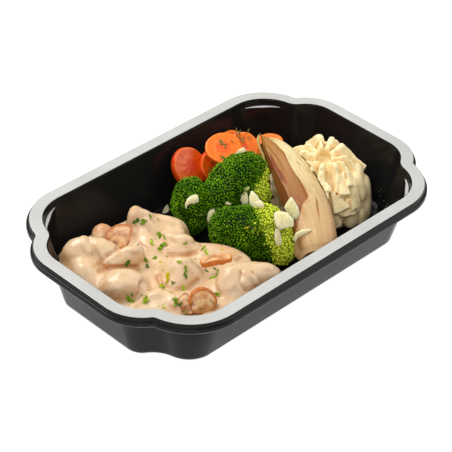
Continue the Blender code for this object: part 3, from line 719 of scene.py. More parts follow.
def polygon_depth(x, y, loop):
    """Distance inside a polygon, below 0 outside."""
    best = np.full(np.shape(x), 1e9)
    cross = np.zeros(np.shape(x), bool)
    for (ax, ay), (bx, by) in zip(loop, loop[1:] + loop[:1]):
        ex, ey = bx - ax, by - ay
        t = np.clip(((x - ax) * ex + (y - ay) * ey) / (ex * ex + ey * ey + 1e-12), 0, 1)
        best = np.minimum(best, np.hypot(x - ax - ex * t, y - ay - ey * t))
        if ay != by:
            cross ^= ((ay > y) != (by > y)) & (x < (bx - ax) * (y - ay) / (by - ay) + ax)
    return np.where(cross, best, -best)


sauce_obj = sauce()


def ground(*objs):
    """One tree of the surfaces that small things lie on."""
    points, faces = [], []
    for o in objs:
        k = len(points)
        points += [v.co.copy() for v in o.data.vertices]
        faces += [[k + i for i in p.vertices] for p in o.data.polygons]
    return BVHTree.FromPolygons(points, faces)


def seen_at(tree, u, v):
    """Where the camera's line through (u, v) meets the surfaces: point in millimetres and normal."""
    hit = tree.ray_cast(Vector(EYE * MM), Vector(ray(u, v)))
    if hit[0] is None:
        return None, None
    n = np.array(hit[1])
    if n @ ray(u, v) > 0:
        n = -n
    return np.array(hit[0]) / MM, n


# =====================================================================================
# mushrooms
# =====================================================================================
def frame_plane(u, v, centre, normal):
    d = ray(u, v)
    n = unit(normal)
    return EYE + d * ((np.asarray(centre, float) - EYE) @ n) / (d @ n)


def smooth_loop(points, n):
    """Closed smooth curve through points, n long."""
    key = np.asarray(points, float)
    m = len(key)
    d = np.linalg.norm(np.roll(key, -1, 0) - key, axis=1)
    at = np.concatenate([[0], np.cumsum(d)])
    out = []
    for t in np.linspace(0, at[-1], n, endpoint=False):
        i = min(int(np.searchsorted(at, t, side="right")) - 1, m - 1)
        f = (t - at[i]) / d[i]
        p0, p1, p2, p3 = (key[(i + k) % m] for k in (-1, 0, 1, 2))
        out.append(0.5 * (2 * p1 + (p2 - p0) * f + (2 * p0 - 5 * p1 + 4 * p2 - p3) * f * f + (3 * p1 - p0 - 3 * p2 + p3) * f ** 3))
    return np.array(out)


def mushroom_cut(name, loop, centre, normal, thick, back, gill, node=None, bow=0.8, seed=0, rim_w=0.16, stem=None, fry=0.5, grow=1.0, paint=None):
    """A cut mushroom: its face follows a loop in frame units on a plane, and its skin goes back from there.
    back is the way the skin recedes; gill is (place, radius, width) of the darker arc, in frame units."""
    n = 110
    w = unit(normal)
    back = np.asarray(back, float)
    face = np.array([frame_plane(u, v, centre, w) for u, v in smooth_loop(loop, n)])
    px = smooth_loop(loop, n)
    mid, mid_px = face.mean(0), px.mean(0)
    rings = [(0.0, 0.0), (0.2, 0.0), (0.4, 0.0), (0.58, 0.0), (0.74, 0.0), (0.86, 0.0), (0.94, 0.02), (0.985, 0.10), (1.0, 0.22),
             (1.01 * grow, 0.45), (0.97 * grow, 0.68), (0.88 * grow, 0.86), (0.68 * grow, 0.97), (0.35, 1.0), (0.0, 1.0)]
    pts, info, places = [], [], []
    for r, deep in rings:
        pts.append(mid + (face - mid) * r + back * thick * deep)
        info.append(np.stack([np.full(n, r), np.full(n, deep)], 1))
        places.append(mid_px + (px - mid_px) * r)
    pts, info, places = np.concatenate(pts), np.concatenate(info), np.concatenate(places)
    front = info[:, 1] < 0.03
    (gu, gv), gr, gw = gill
    dist = np.hypot(places[:, 0] - gu, places[:, 1] - gv)
    arc = band(dist, gr, gw) * front
    lump = 0.30 * noise3(pts / 2.2 + seed, 61) + 0.12 * noise3(pts / 0.8, 62)
    pts = pts + np.outer((lump - 0.45 * arc) * (info[:, 0] < 0.99), w)
    pts = pts + np.outer(-bow * info[:, 0] ** 2 * front, w)
    side = ~front
    pts = pts + (pts - mid) / (np.linalg.norm(pts - mid, axis=1, keepdims=True) + 1e-6) * (side * 0.25 * noise3(pts / 3.0 + seed, 63))[:, None]
    faces = []
    for k in range(len(rings) - 1):
        i = np.arange(n)
        j = (i + 1) % n
        faces.append(np.stack([k * n + i, k * n + j, (k + 1) * n + j, (k + 1) * n + i], 1))
    skin, flesh, rim, dark = lin(204, 114, 36), lin(255, 210, 152), lin(216, 120, 36), lin(140, 70, 26)
    angle = np.arctan2(places[:, 0] - gu, places[:, 1] - gv)
    streak = 0.5 + 0.5 * noise3(np.stack([angle * 7, dist * 0.25, 0 * dist + seed], -1), 71)
    tint = flesh * (0.80 + 0.28 * streak[:, None])
    k = (smooth01((info[:, 0] - (1 - rim_w)) / (rim_w * 0.6)) * front * 0.9)[:, None]
    tint = tint * (1 - k) + rim * k
    k = (arc * (0.45 + 0.5 * streak))[:, None]
    tint = tint * (1 - k) + dark * k
    cooked = (smooth01(0.35 + 0.8 * noise3(pts / 3.5, 77)) * fry * front)[:, None]
    tint = tint * (1 - cooked) + lin(212, 138, 70) * cooked
    k = side[:, None] * 1.0
    brown = skin * (0.75 + 0.45 * (0.5 + 0.5 * noise3(pts / 2.4, 79)))[:, None]
    tint = tint * (1 - k) + brown * k
    if paint:
        for (u, v), radius, colour, amount in paint:
            k = (band(np.hypot(places[:, 0] - u, places[:, 1] - v), 0, radius) * amount * front)[:, None]
            tint = tint * (1 - k) + colour * k
    return make(name, pts, np.concatenate(faces), MUSHROOM, "mushroom", tint, [node] if node else ())


MUSHROOM = food("mushroom_fried", rough=(0.26, 0.42), sss=0.08, scale=0.0015, bump=(0.3, 0.2, 0.7), coat=0.22, vary=0.06, vary_size=1.2)
mushroom_cut("mushroom_slice_back_piece",
             [low(*q) for q in ((432, 224), (470, 207), (515, 206), (546, 214), (557, 235), (549, 272), (541, 310), (525, 342), (490, 357),
                                (455, 366), (430, 378), (408, 356), (397, 315), (395, 275), (407, 245))],
             np.array((-60.4, 25.6, 28.4)) + TOWARDS * 3.2, (-0.62, -0.50, 0.60), 4.2, -unit((-0.62, -0.50, 0.60)) + RIGHT * -0.10,
             (low(470, 330), 11.0, 4.0), "mushroom_slice_back", seed=3, rim_w=0.24, fry=0.9,
             paint=[(low(452, 318), 6.0, lin(104, 60, 38), 0.85), (low(430, 240), 5.0, lin(206, 122, 50), 0.7), (low(528, 290), 6.0, lin(240, 184, 124), 0.7)])
mushroom_cut("mushroom_slice_flat_piece",
             [low(*q) for q in ((966, 418), (990, 402), (1030, 390), (1075, 380), (1120, 376), (1150, 379), (1158, 392), (1150, 412), (1120, 416),
                                (1070, 420), (1015, 432), (978, 440))],
             np.array((-34.4, -23.6, 28.0)) + TOWARDS * 0.6, (-0.10, -0.30, 0.95), 3.8, (-0.20, -0.30, -0.94),
             (low(1060, 470), 12.0, 3.0), "mushroom_slice_flat", seed=7, bow=0.3, fry=0.8,
             paint=[(low(1100, 390), 8.0, lin(214, 138, 66), 0.7), (low(1000, 420), 5.0, lin(230, 168, 108), 0.6)])
mushroom_cut("mushroom_half_front_piece",
             [low(*q) for q in ((912, 650), (926, 622), (955, 604), (992, 598), (1028, 610), (1056, 636), (1070, 668), (1062, 704), (1040, 732),
                                (1000, 746), (955, 748), (922, 738), (908, 704), (906, 676))],
             (-66.2, -42.4, 29.0), (-0.22, -0.76, 0.62), 6.5, -unit((-0.22, -0.76, 0.62)) * 0.85 + RIGHT * 0.16 + UP * 0.26,
             (low(985, 724), 12.5, 1.5), "mushroom_half_front", seed=11, bow=1.0, rim_w=0.24, fry=0.9, grow=1.06,
             paint=[(low(985, 640), 6.0, lin(236, 168, 108), 0.6), (low(1000, 700), 6.0, lin(206, 128, 76), 0.7), (low(970, 716), 2.8, lin(120, 54, 24), 0.9),
                    (low(925, 690), 3.4, lin(116, 56, 26), 0.85)])
mushroom_cut("mushroom_stem_front_piece",
             [low(*q) for q in ((832, 668), (845, 640), (872, 618), (892, 628), (905, 660), (915, 700), (922, 742), (890, 748), (862, 735), (840, 705))],
             (-71.0, -39.5, 27.6), (-0.55, -0.45, 0.70), 5.0, -unit((-0.55, -0.45, 0.70)),
             (low(880, 700), 6.0, 2.5), None, seed=13, bow=0.9, fry=0.8,
             paint=[(low(880, 705), 6.0, lin(160, 80, 36), 0.8)])


# =====================================================================================
# broccoli
# =====================================================================================
def dome(around=8):
    """A bud: two rings and an apex of a unit sphere's outer side."""
    pts = [(math.cos(2 * math.pi * i / around), math.sin(2 * math.pi * i / around), -0.35) for i in range(around)]
    pts += [(0.90 * math.cos(2 * math.pi * (i + 0.5) / around), 0.90 * math.sin(2 * math.pi * (i + 0.5) / around), 0.45) for i in range(around)]
    pts.append((0, 0, 1.0))
    faces = []
    for i in range(around):
        j = (i + 1) % around
        faces += [(i, j, around + i), (j, around + j, around + i), (around + i, around + j, 2 * around)]
    return np.array(pts), np.array(faces)


def ball(around=20, up=12):
    pts, faces = [(0, 0, -1)], []
    for k in range(1, up):
        t = math.pi * k / up
        pts += [(math.sin(t) * math.cos(2 * math.pi * i / around), math.sin(t) * math.sin(2 * math.pi * i / around), -math.cos(t)) for i in range(around)]
    pts.append((0, 0, 1))
    for i in range(around):
        j = (i + 1) % around
        faces.append((0, 1 + j, 1 + i))
        last = 1 + (up - 2) * around
        faces.append((last + i, last + j, last + around))
    for k in range(up - 2):
        for i in range(around):
            j = (i + 1) % around
            a, b = 1 + k * around, 1 + (k + 1) * around
            faces += [(a + i, a + j, b + j), (a + i, b + j, b + i)]
    return np.array(pts), np.array(faces)


def spiral(n):
    """n directions spread evenly over a sphere."""
    i = np.arange(n) + 0.5
    z = 1 - 2 * i / n
    a = math.pi * (1 + 5 ** 0.5) * i
    r = np.sqrt(1 - z * z)
    return np.stack([r * np.cos(a), r * np.sin(a), z], 1)


def tube(path, radii, around=12):
    """Points and triangles of a closed tube along a path."""
    path = np.asarray(path, float)
    pts, faces = [], []
    side = None
    for k, c in enumerate(path):
        d = unit(path[min(k + 1, len(path) - 1)] - path[max(k - 1, 0)])
        side = unit(np.cross(d, (0.3, 0.9, 0.2)) if side is None else side - d * (side @ d))
        other = np.cross(d, side)
        for i in range(around):
            a = 2 * math.pi * i / around
            pts.append(c + (side * math.cos(a) + other * math.sin(a)) * radii[k])
    for k in range(len(path) - 1):
        for i in range(around):
            j = (i + 1) % around
            a, b = k * around, (k + 1) * around
            faces += [(a + i, a + j, b + j), (a + i, b + j, b + i)]
    pts += [path[0], path[-1]]
    for i in range(around):
        j = (i + 1) % around
        faces += [(j, i, len(pts) - 2), ((len(path) - 1) * around + i, (len(path) - 1) * around + j, len(pts) - 1)]
    return np.array(pts), np.array(faces)


class Heap:
    """Collects many small meshes into one."""

    def __init__(self):
        self.points, self.faces, self.tints, self.n = [], [], [], 0

    def add(self, points, faces, tint):
        points = np.asarray(points, float)
        self.points.append(points)
        self.faces.append(np.asarray(faces) + self.n)
        t = np.asarray(tint, float)
        self.tints.append(np.broadcast_to(t, (len(points), 3)) if t.ndim == 1 else t)
        self.n += len(points)

    def build(self, name, mat, slot, replaces=(), angle=None):
        return make(name, np.concatenate(self.points), np.concatenate(self.faces), mat, slot, np.concatenate(self.tints), replaces, angle)


def apart(points, gap, rng):
    """Indices of points at least gap from each other, taken in random order."""
    keys = np.floor(points / gap).astype(int)
    grid, keep = {}, []
    for i in rng.permutation(len(points)):
        a, b, c = keys[i]
        p = points[i]
        ok = True
        for dx in (-1, 0, 1):
            for dy in (-1, 0, 1):
                for dz in (-1, 0, 1):
                    for q in grid.get((a + dx, b + dy, c + dz), ()):
                        if (q[0] - p[0]) ** 2 + (q[1] - p[1]) ** 2 + (q[2] - p[2]) ** 2 < gap * gap:
                            ok = False
                            break
                    if not ok:
                        break
                if not ok:
                    break
            if not ok:
                break
        if ok:
            grid.setdefault((a, b, c), []).append(p)
            keep.append(i)
    return np.array(keep)


DOME = dome()
BALL = ball()
FINE_BALL = ball(56, 34)
GREENS = np.array([lin(30, 58, 0), lin(58, 102, 0), lin(90, 138, 2), lin(128, 172, 12)])
LIME, PALE = lin(208, 228, 62), lin(226, 226, 140)


def ramp_colour(table, t):
    t = np.clip(t, 0, 0.9999) * (len(table) - 1)
    i = t.astype(int)
    f = (t - i)[:, None]
    return table[i] * (1 - f) + table[i + 1] * f


def broccoli(name, node, eggs, stalk_start, stalk_end, stalk_r, seed, lime=None, gap=1.16, bud=0.66, stems=14, foot=1.4):
    """A floret: a crown of buds over branching stems. lime is (point, direction): the buds turn pale beyond that plane."""
    rng = np.random.default_rng(seed)
    heap = Heap()
    spots, normals, rel = [], [], []
    stalk_start, stalk_end = np.asarray(stalk_start, float), np.asarray(stalk_end, float)

    def swell(d, k):
        d1, d2, _ = cells(d * 2.1 + 7.7 * k, seed)
        return 1 + 0.05 * noise3(d * 1.7 + k * 3.3, seed) - 0.055 * np.exp(-((d2 - d1) / 0.13) ** 2)

    for k, (centre, radii, turn, tilt) in enumerate(eggs):
        rot = turned(turn, tilt)
        radii = np.asarray(radii, float)
        d = spiral(int(11.0 * (radii[0] * radii[1] + radii[1] * radii[2] + radii[0] * radii[2])))
        p = np.asarray(centre) + (d * radii * swell(d, k)[:, None]) @ rot.T
        n = (d / radii) @ rot.T
        n /= np.linalg.norm(n, axis=1, keepdims=True)
        ok = p[:, 2] > foot
        for j, (c2, r2, t2, l2) in enumerate(eggs):
            if j != k:
                ok &= egg(p, c2, r2, t2, l2) > -0.3
        axis = unit(np.asarray(centre) - stalk_end)
        ok &= (p - centre) @ axis > -0.70 * radii.min()
        spots.append(p[ok])
        normals.append(n[ok])
        b = FINE_BALL[0]
        base = np.asarray(centre) + (b * radii * (swell(b, k) * 0.975)[:, None]) @ rot.T
        base[:, 2] = np.maximum(base[:, 2], foot)
        # the crown under the buds is dark, also in the lime zone: painted shade in the gaps between buds
        shade = np.broadcast_to(GREENS[0] * 0.75, base.shape)
        if lime is not None:
            t = smooth01(((base - lime[0]) @ unit(lime[1]) + 1.0) / 3.0)[:, None]
            shade = shade * (1 - t) + LIME * 0.62 * t
        heap.add(base, FINE_BALL[1], shade)
    spots, normals = np.concatenate(spots), np.concatenate(normals)
    keep = apart(spots, gap, rng)
    P, N = spots[keep], normals[keep]
    n = len(P)
    R = bud * (1 + 0.10 * noise3(P / 4.0, seed + 3)) * rng.uniform(0.84, 1.14, n)
    P = P + N * rng.uniform(-0.12, 0.34, n)[:, None]
    N = N + rng.normal(0, 0.16, (n, 3))
    N /= np.linalg.norm(N, axis=1, keepdims=True)
    # buds facing up are lighter green: painted light
    mood = 0.42 + 0.36 * noise3(P / 8.0, seed) + rng.normal(0, 0.15, n) + 0.20 * N[:, 2]
    colour = ramp_colour(GREENS, mood)
    if lime is not None:
        t = smooth01(((P - lime[0]) @ unit(lime[1]) + rng.normal(0, 1.3, n)) / 3.4 + 0.3)[:, None]
        colour = colour * (1 - t) + LIME * rng.uniform(0.75, 1.25, (n, 1)) * t
        P = P + N * (t * rng.uniform(0.0, 0.9, (n, 1)))
        R = R * (1 + 0.18 * t[:, 0])
    side = np.cross(N, (0.31, 0.52, 0.79))
    side /= np.linalg.norm(side, axis=1, keepdims=True)
    other = np.cross(N, side)
    a = rng.uniform(0, 2 * math.pi, n)[:, None]
    s2, o2 = side * np.cos(a) + other * np.sin(a), other * np.cos(a) - side * np.sin(a)
    D, F = DOME
    pts = P[:, None] + R[:, None, None] * (D[None, :, :1] * s2[:, None] + D[None, :, 1:2] * o2[:, None] + D[None, :, 2:] * 1.25 * N[:, None])
    m = len(D)
    # each bud is darker at its foot and lighter at its apex: painted shade between buds and a painted highlight on the
    # tip
    shade = np.where(np.arange(m) < 8, 0.45, np.where(np.arange(m) < 16, 1.0, 1.55))
    tint = colour[:, None] * shade[None, :, None]
    faces = F[None] + (np.arange(n) * m)[:, None, None]
    heap.add(pts.reshape(-1, 3), faces.reshape(-1, 3), tint.reshape(-1, 3))
    # branching stems under the crown, and the stalk
    c0, r0, t0, l0 = eggs[0]
    rot = turned(t0, l0)
    fork = stalk_start + (stalk_end - stalk_start) * 0.55
    for d in spiral(stems * 2):
        tip = np.asarray(c0) + rot @ (d * np.asarray(r0) * 0.90)
        if (tip - c0) @ unit(np.asarray(c0) - stalk_end) > 0.25 * min(r0):
            continue
        mid = (fork + tip) / 2 + rng.normal(0, 0.6, 3)
        p, f = tube([fork, mid, tip], [stalk_r * 0.45, stalk_r * 0.36, stalk_r * 0.50], 12)
        heap.add(p, f, PALE * 0.9)
    path = [stalk_end + (stalk_start - stalk_end) * t for t in (0, 0.03, 0.3, 0.6, 0.9)]
    p, f = tube(path, [stalk_r * 0.88, stalk_r, stalk_r * 1.02, stalk_r * 1.2, stalk_r * 1.5], 24)
    heap.add(p, f, PALE * 0.95)
    return heap.build(name, BROCCOLI, "broccoli", [node])


BROCCOLI = food("broccoli_cooked", rough=(0.30, 0.44), sss=0.0, bump=(0.15, 0.08, 0.4), coat=0.0, vary=0.12, vary_size=0.8, spec=0.10)
broc_left = broccoli("broccoli_left_floret", "broccoli_left",
                     [((-1.8, 30.8, 20.0), (11.2, 12.0, 17.6), -46, 0), ((-4.0, 27.0, 12.0), (8.0, 8.0, 9.6), -46, 0)], (-2.2, 31.0, 19.0), (9.0, 31.0, 4.2), 4.4, 101)
broc_middle = broccoli("broccoli_middle_floret", "broccoli_middle",
                       [((25.0, 20.4, 27.4), (22.6, 13.8, 16.4), -6, 22), ((7.5, 20.5, 20.0), (10.0, 9.0, 16.0), -20, 0), ((30.0, 9.6, 22.5), (9.4, 7.4, 11.0), -40, 0)],
                       (25.0, 20.4, 27.4), (33.0, 8.0, 4.8), 5.0, 102, lime=(np.array([29.0, 10.0, 28.0]), (0.50, -0.66, -0.56)))
broc_front = broccoli("broccoli_front_floret", "broccoli_front",
                      [((2.8, -13.8, 20.2), (23.8, 13.4, 18.0), -46, 0), ((-6.0, -5.6, 25.0), (11.5, 9.5, 13.0), -46, 0), ((9.5, -17.5, 24.6), (12.0, 10.0, 13.6), -46, 0), ((11.5, -29.0, 14.5), (10.0, 8.0, 10.5), -46, 0)], (2.8, -13.8, 20.2), (19.0, -6.0, 6.2), 5.4, 103,
                      lime=(np.array([9.0, -19.0, 22.0]), (0.76, -0.56, 0.34)))


# =====================================================================================
# carrots
# =====================================================================================
def coin(centre, normal, diameter, thick, seed, oval=(1.0, 1.0), turn=0.0, dish=0.3, dark=0.0, core=0.42, n=96):
    """A slice of carrot with a lighter rind ring and a redder core. Returns points, faces, tint."""
    w = unit(normal)
    u = unit(np.cross(w, (0.37, 0.21, 0.9)))
    v = np.cross(w, u)
    ct, st = math.cos(turn), math.sin(turn)
    u, v = u * ct + v * st, v * ct - u * st
    rings = [(0.0, 0.5), (0.12, 0.5), (0.25, 0.5), (0.36, 0.5), (0.46, 0.5), (0.58, 0.5), (0.70, 0.5), (0.80, 0.5), (0.88, 0.5),
             (0.935, 0.49), (0.965, 0.45), (0.99, 0.36), (1.0, 0.2), (1.0, 0.0), (0.995, -0.2), (0.98, -0.36), (0.95, -0.46),
             (0.90, -0.5), (0.6, -0.5), (0.3, -0.5), (0.0, -0.5)]
    a = np.linspace(0, 2 * math.pi, n, endpoint=False)
    pts, tint = [], []
    orange, rind, red = lin(248, 116, 12), lin(252, 142, 30), lin(242, 92, 10)
    for r, level in rings:
        wob = 1 + 0.022 * np.cos(2 * a + seed) + 0.014 * np.cos(3 * a + seed * 2.1) + 0.006 * np.cos(7 * a + seed)
        x = np.cos(a) * r * wob * diameter / 2 * oval[0]
        y = np.sin(a) * r * wob * diameter / 2 * oval[1]
        edge = core + 0.03 * np.cos(5 * a + seed) + 0.02 * np.cos(9 * a + seed * 3)
        ridge = band(r, edge, 0.10)
        rays = noise3(np.stack([np.cos(a) * 4.5, np.sin(a) * 4.5, np.full(n, r * 1.2 + seed)], -1), 9)
        z = level * thick
        if abs(level) > 0.44:
            z = z + math.copysign(1, level) * (0.22 * ridge - dish * (1 - smooth01(np.abs(r - 0.62) / 0.45)) * 0.5
                                               + 0.06 * rays * (r > 0.1) + 0.10 * noise3(np.stack([x / 1.6, y / 1.6, np.full(n, seed)], -1), 14))
        else:
            z = np.full(n, z)
        pts.append(np.asarray(centre, float) + np.outer(x, u) + np.outer(y, v) + np.outer(z, w))
        inner = smooth01((edge - r) / 0.10 + 0.5)
        outer = 0.6 * smooth01((r - 0.84) / 0.10) * (abs(level) > 0.4)
        c = orange * (1 - inner[:, None]) + red * inner[:, None]
        c = c * (1 - outer) + rind * outer
        ring_light = (0.30 * ridge * (1 - 0.5 * np.abs(rays)))[:, None]
        c = c * (1 - ring_light) + rind * ring_light
        c = c * (1 + 0.10 * rays[:, None])
        if abs(level) <= 0.4:
            c = c * 0 + lin(232, 92, 18) * (1 + 0.25 * noise3(np.stack([np.cos(a) * 9, np.sin(a) * 9, np.full(n, level * 3 + seed)], -1), 17)[:, None])
        # dark: painted shade over the whole slice
        tint.append(c * (1 - dark))
    faces = []
    for k in range(len(rings) - 1):
        i = np.arange(n)
        j = (i + 1) % n
        faces.append(np.stack([k * n + i, k * n + j, (k + 1) * n + j, (k + 1) * n + i], 1))
    return np.concatenate(pts), np.concatenate(faces), np.concatenate(tint)


CARROT = food("carrot_cooked", rough=(0.30, 0.45), sss=0.18, scale=0.002, radius=(1.0, 0.5, 0.15), bump=(0.22, 0.2, 0.7), coat=0.10, spec=0.35,
              vary=0.09, vary_size=1.2)


def carrots():
    # dark darkens a slice, and the two left slices are also made redder: painted shade on slices that face the camera,
    # away from the light
    for node, centre, normal, dia, thick, dark in (
            ("carrot_left", (19.2, 54.2, 24.4), (0.04, -0.79, 0.61), 24.6, 4.8, 0.10),
            ("carrot_second", (33.2, 47.0, 22.4), (0.02, -0.79, 0.61), 21.0, 4.2, 0.06),
            ("carrot_front", (38.0, 43.9, 34.0), (-0.27, -0.24, 0.93), 22.4, 4.2, 0.0),
            ("carrot_right", (54.6, 44.2, 26.6), (-0.55, -0.26, 0.79), 21.0, 4.4, 0.0),
            ("carrot_back", (57.2, 54.0, 21.8), (-0.25, -0.62, 0.74), 20.5, 4.2, 0.05),
            ("carrot_far", (73.0, 39.6, 22.2), (-0.25, 0.10, 0.96), 20.0, 5.0, 0.0)):
        p, f, t = coin(centre, normal, dia, thick, seed=centre[0] * 0.7, dark=dark)
        if node in ("carrot_left", "carrot_second"):
            t = t * np.array([0.98, 0.66, 0.5])
        make(node + "_slice", p, f, CARROT, "carrot", t, [node])
    heap = Heap()
    rng = np.random.default_rng(7)
    core = BALL[0] * np.array([33.0, 8.2, 3.6]) + np.array([50.0, 43.5, 5.4])
    heap.add(core, BALL[1], lin(200, 82, 26))
    quads = []
    for k in range(11):
        c = np.array([22 + k * 5.6, 43.5 + rng.uniform(-5, 5), 6.2 + rng.uniform(0.0, 3.0)])
        nrm = unit((rng.uniform(-0.5, 0.5), rng.uniform(-0.6, 0.3), 0.9))
        # the slices under the others are a little darker: painted shade
        p, f, t = coin(c, nrm, rng.uniform(15, 19), 3.6, seed=k * 1.7, n=48, dark=0.06)
        low = p[:, 2].min()
        p[:, 2] += max(0.0, 1.7 - low)
        tri = np.concatenate([f[:, [0, 1, 2]], f[:, [0, 2, 3]]])
        heap.add(p, tri, t)
    heap.build("carrot_heap_slices", CARROT, "carrot", ["carrot_heap"])


carrots()


# =====================================================================================
# chicory
# =====================================================================================
STATIONS = [((62.0, 36.0, 37.6), 1.6, 1.2), ((59.2, 28.0, 37.2), 4.6, 3.4), ((57.2, 19.0, 36.2), 7.3, 5.0),
            ((55.0, 10.2, 34.6), 9.3, 6.4), ((51.6, 1.0, 32.2), 11.0, 7.6), ((47.4, -8.6, 29.4), 12.3, 8.6),
            ((42.8, -18.0, 26.4), 12.7, 9.2), ((37.6, -27.2, 23.4), 12.9, 9.4), ((31.8, -36.0, 20.6), 13.0, 9.2),
            ((26.4, -43.4, 18.0), 12.6, 8.8), ((22.8, -48.2, 16.2), 11.2, 8.0), ((20.6, -51.2, 15.2), 8.6, 6.4)]
FACE = unit((-0.50, -0.22, 0.84))


def station(s):
    """Centre, side, up, half width and half thickness at s, 0 at the tip and 1 at the root."""
    line = np.array([c for c, _, _ in STATIONS])
    w = np.array([a for _, a, _ in STATIONS])
    t = np.array([b for _, _, b in STATIONS])
    k = np.asarray(s, float) * (len(STATIONS) - 1)
    x = np.arange(len(STATIONS))
    c = np.stack([np.interp(k, x, line[:, i]) for i in range(3)], -1)
    c2 = np.stack([np.interp(np.minimum(k + 0.5, len(STATIONS) - 1), x, line[:, i]) for i in range(3)], -1)
    c1 = np.stack([np.interp(np.maximum(k - 0.5, 0), x, line[:, i]) for i in range(3)], -1)
    tangent = (c2 - c1) / np.linalg.norm(c2 - c1, axis=-1, keepdims=True)
    side = np.cross(tangent, FACE)
    side /= np.linalg.norm(side, axis=-1, keepdims=True)
    up = np.cross(side, tangent)
    return c, tangent, side, up, np.interp(k, x, w), np.interp(k, x, t)


def leaf_tint(s, a, v, kind, seed):
    """Colours of one leaf: s along the head, a round it, v across the leaf from -1 to 1."""
    # the dark kind is painted shade for the chicory's shaded left side and its back
    base = {"inner": (lin(206, 176, 112), lin(190, 146, 86)), "outer": (lin(228, 208, 160), lin(208, 170, 122)),
            "brown": (lin(170, 114, 50), lin(148, 86, 34)), "tip": (lin(214, 190, 116), lin(190, 154, 84)),
            "dark": (lin(124, 74, 32), lin(106, 58, 26))}[kind]
    k = smooth01((s - 0.25) / 0.5)[:, None]
    c = base[0] * (1 - k) + base[1] * k
    p = np.stack([a * 5.0, s * 5.0, 0 * a + seed], -1)
    k = (smooth01((0.62 - s) / 0.3) * smooth01(0.05 + 1.8 * noise3(p, 3)) * (0.55 if kind == "outer" else 0.2))[:, None]
    c = c * (1 - k) + lin(212, 184, 84) * k
    k = (smooth01((s - 0.55) / 0.3) * smooth01((v + 0.2) / 1.0) * (0.8 if kind == "outer" else 0.1))[:, None]
    c = c * (1 - k) + lin(204, 146, 104) * k
    wide = noise3(np.stack([a * 11.0, s * 1.7, 0 * a + seed], -1), 8)
    fine = noise3(np.stack([a * 34.0, s * 3.0, 0 * a + seed], -1), 9)
    spot = smooth01(noise3(np.stack([a * 6.0, s * 22.0, 0 * a + seed], -1), 10) * 2.2 - 0.9)
    c = c * (1 + 0.15 * wide[:, None] + 0.20 * fine[:, None])
    return c * (1 - 0.22 * spot[:, None])


CHICORY = food("chicory_braised", rough=(0.34, 0.50), sss=0.06, scale=0.002, bump=(0.12, 0.12, 0.8), coat=0.03, vary=0.06, vary_size=2.0,
               coat_rough=0.2, spec=0.14)


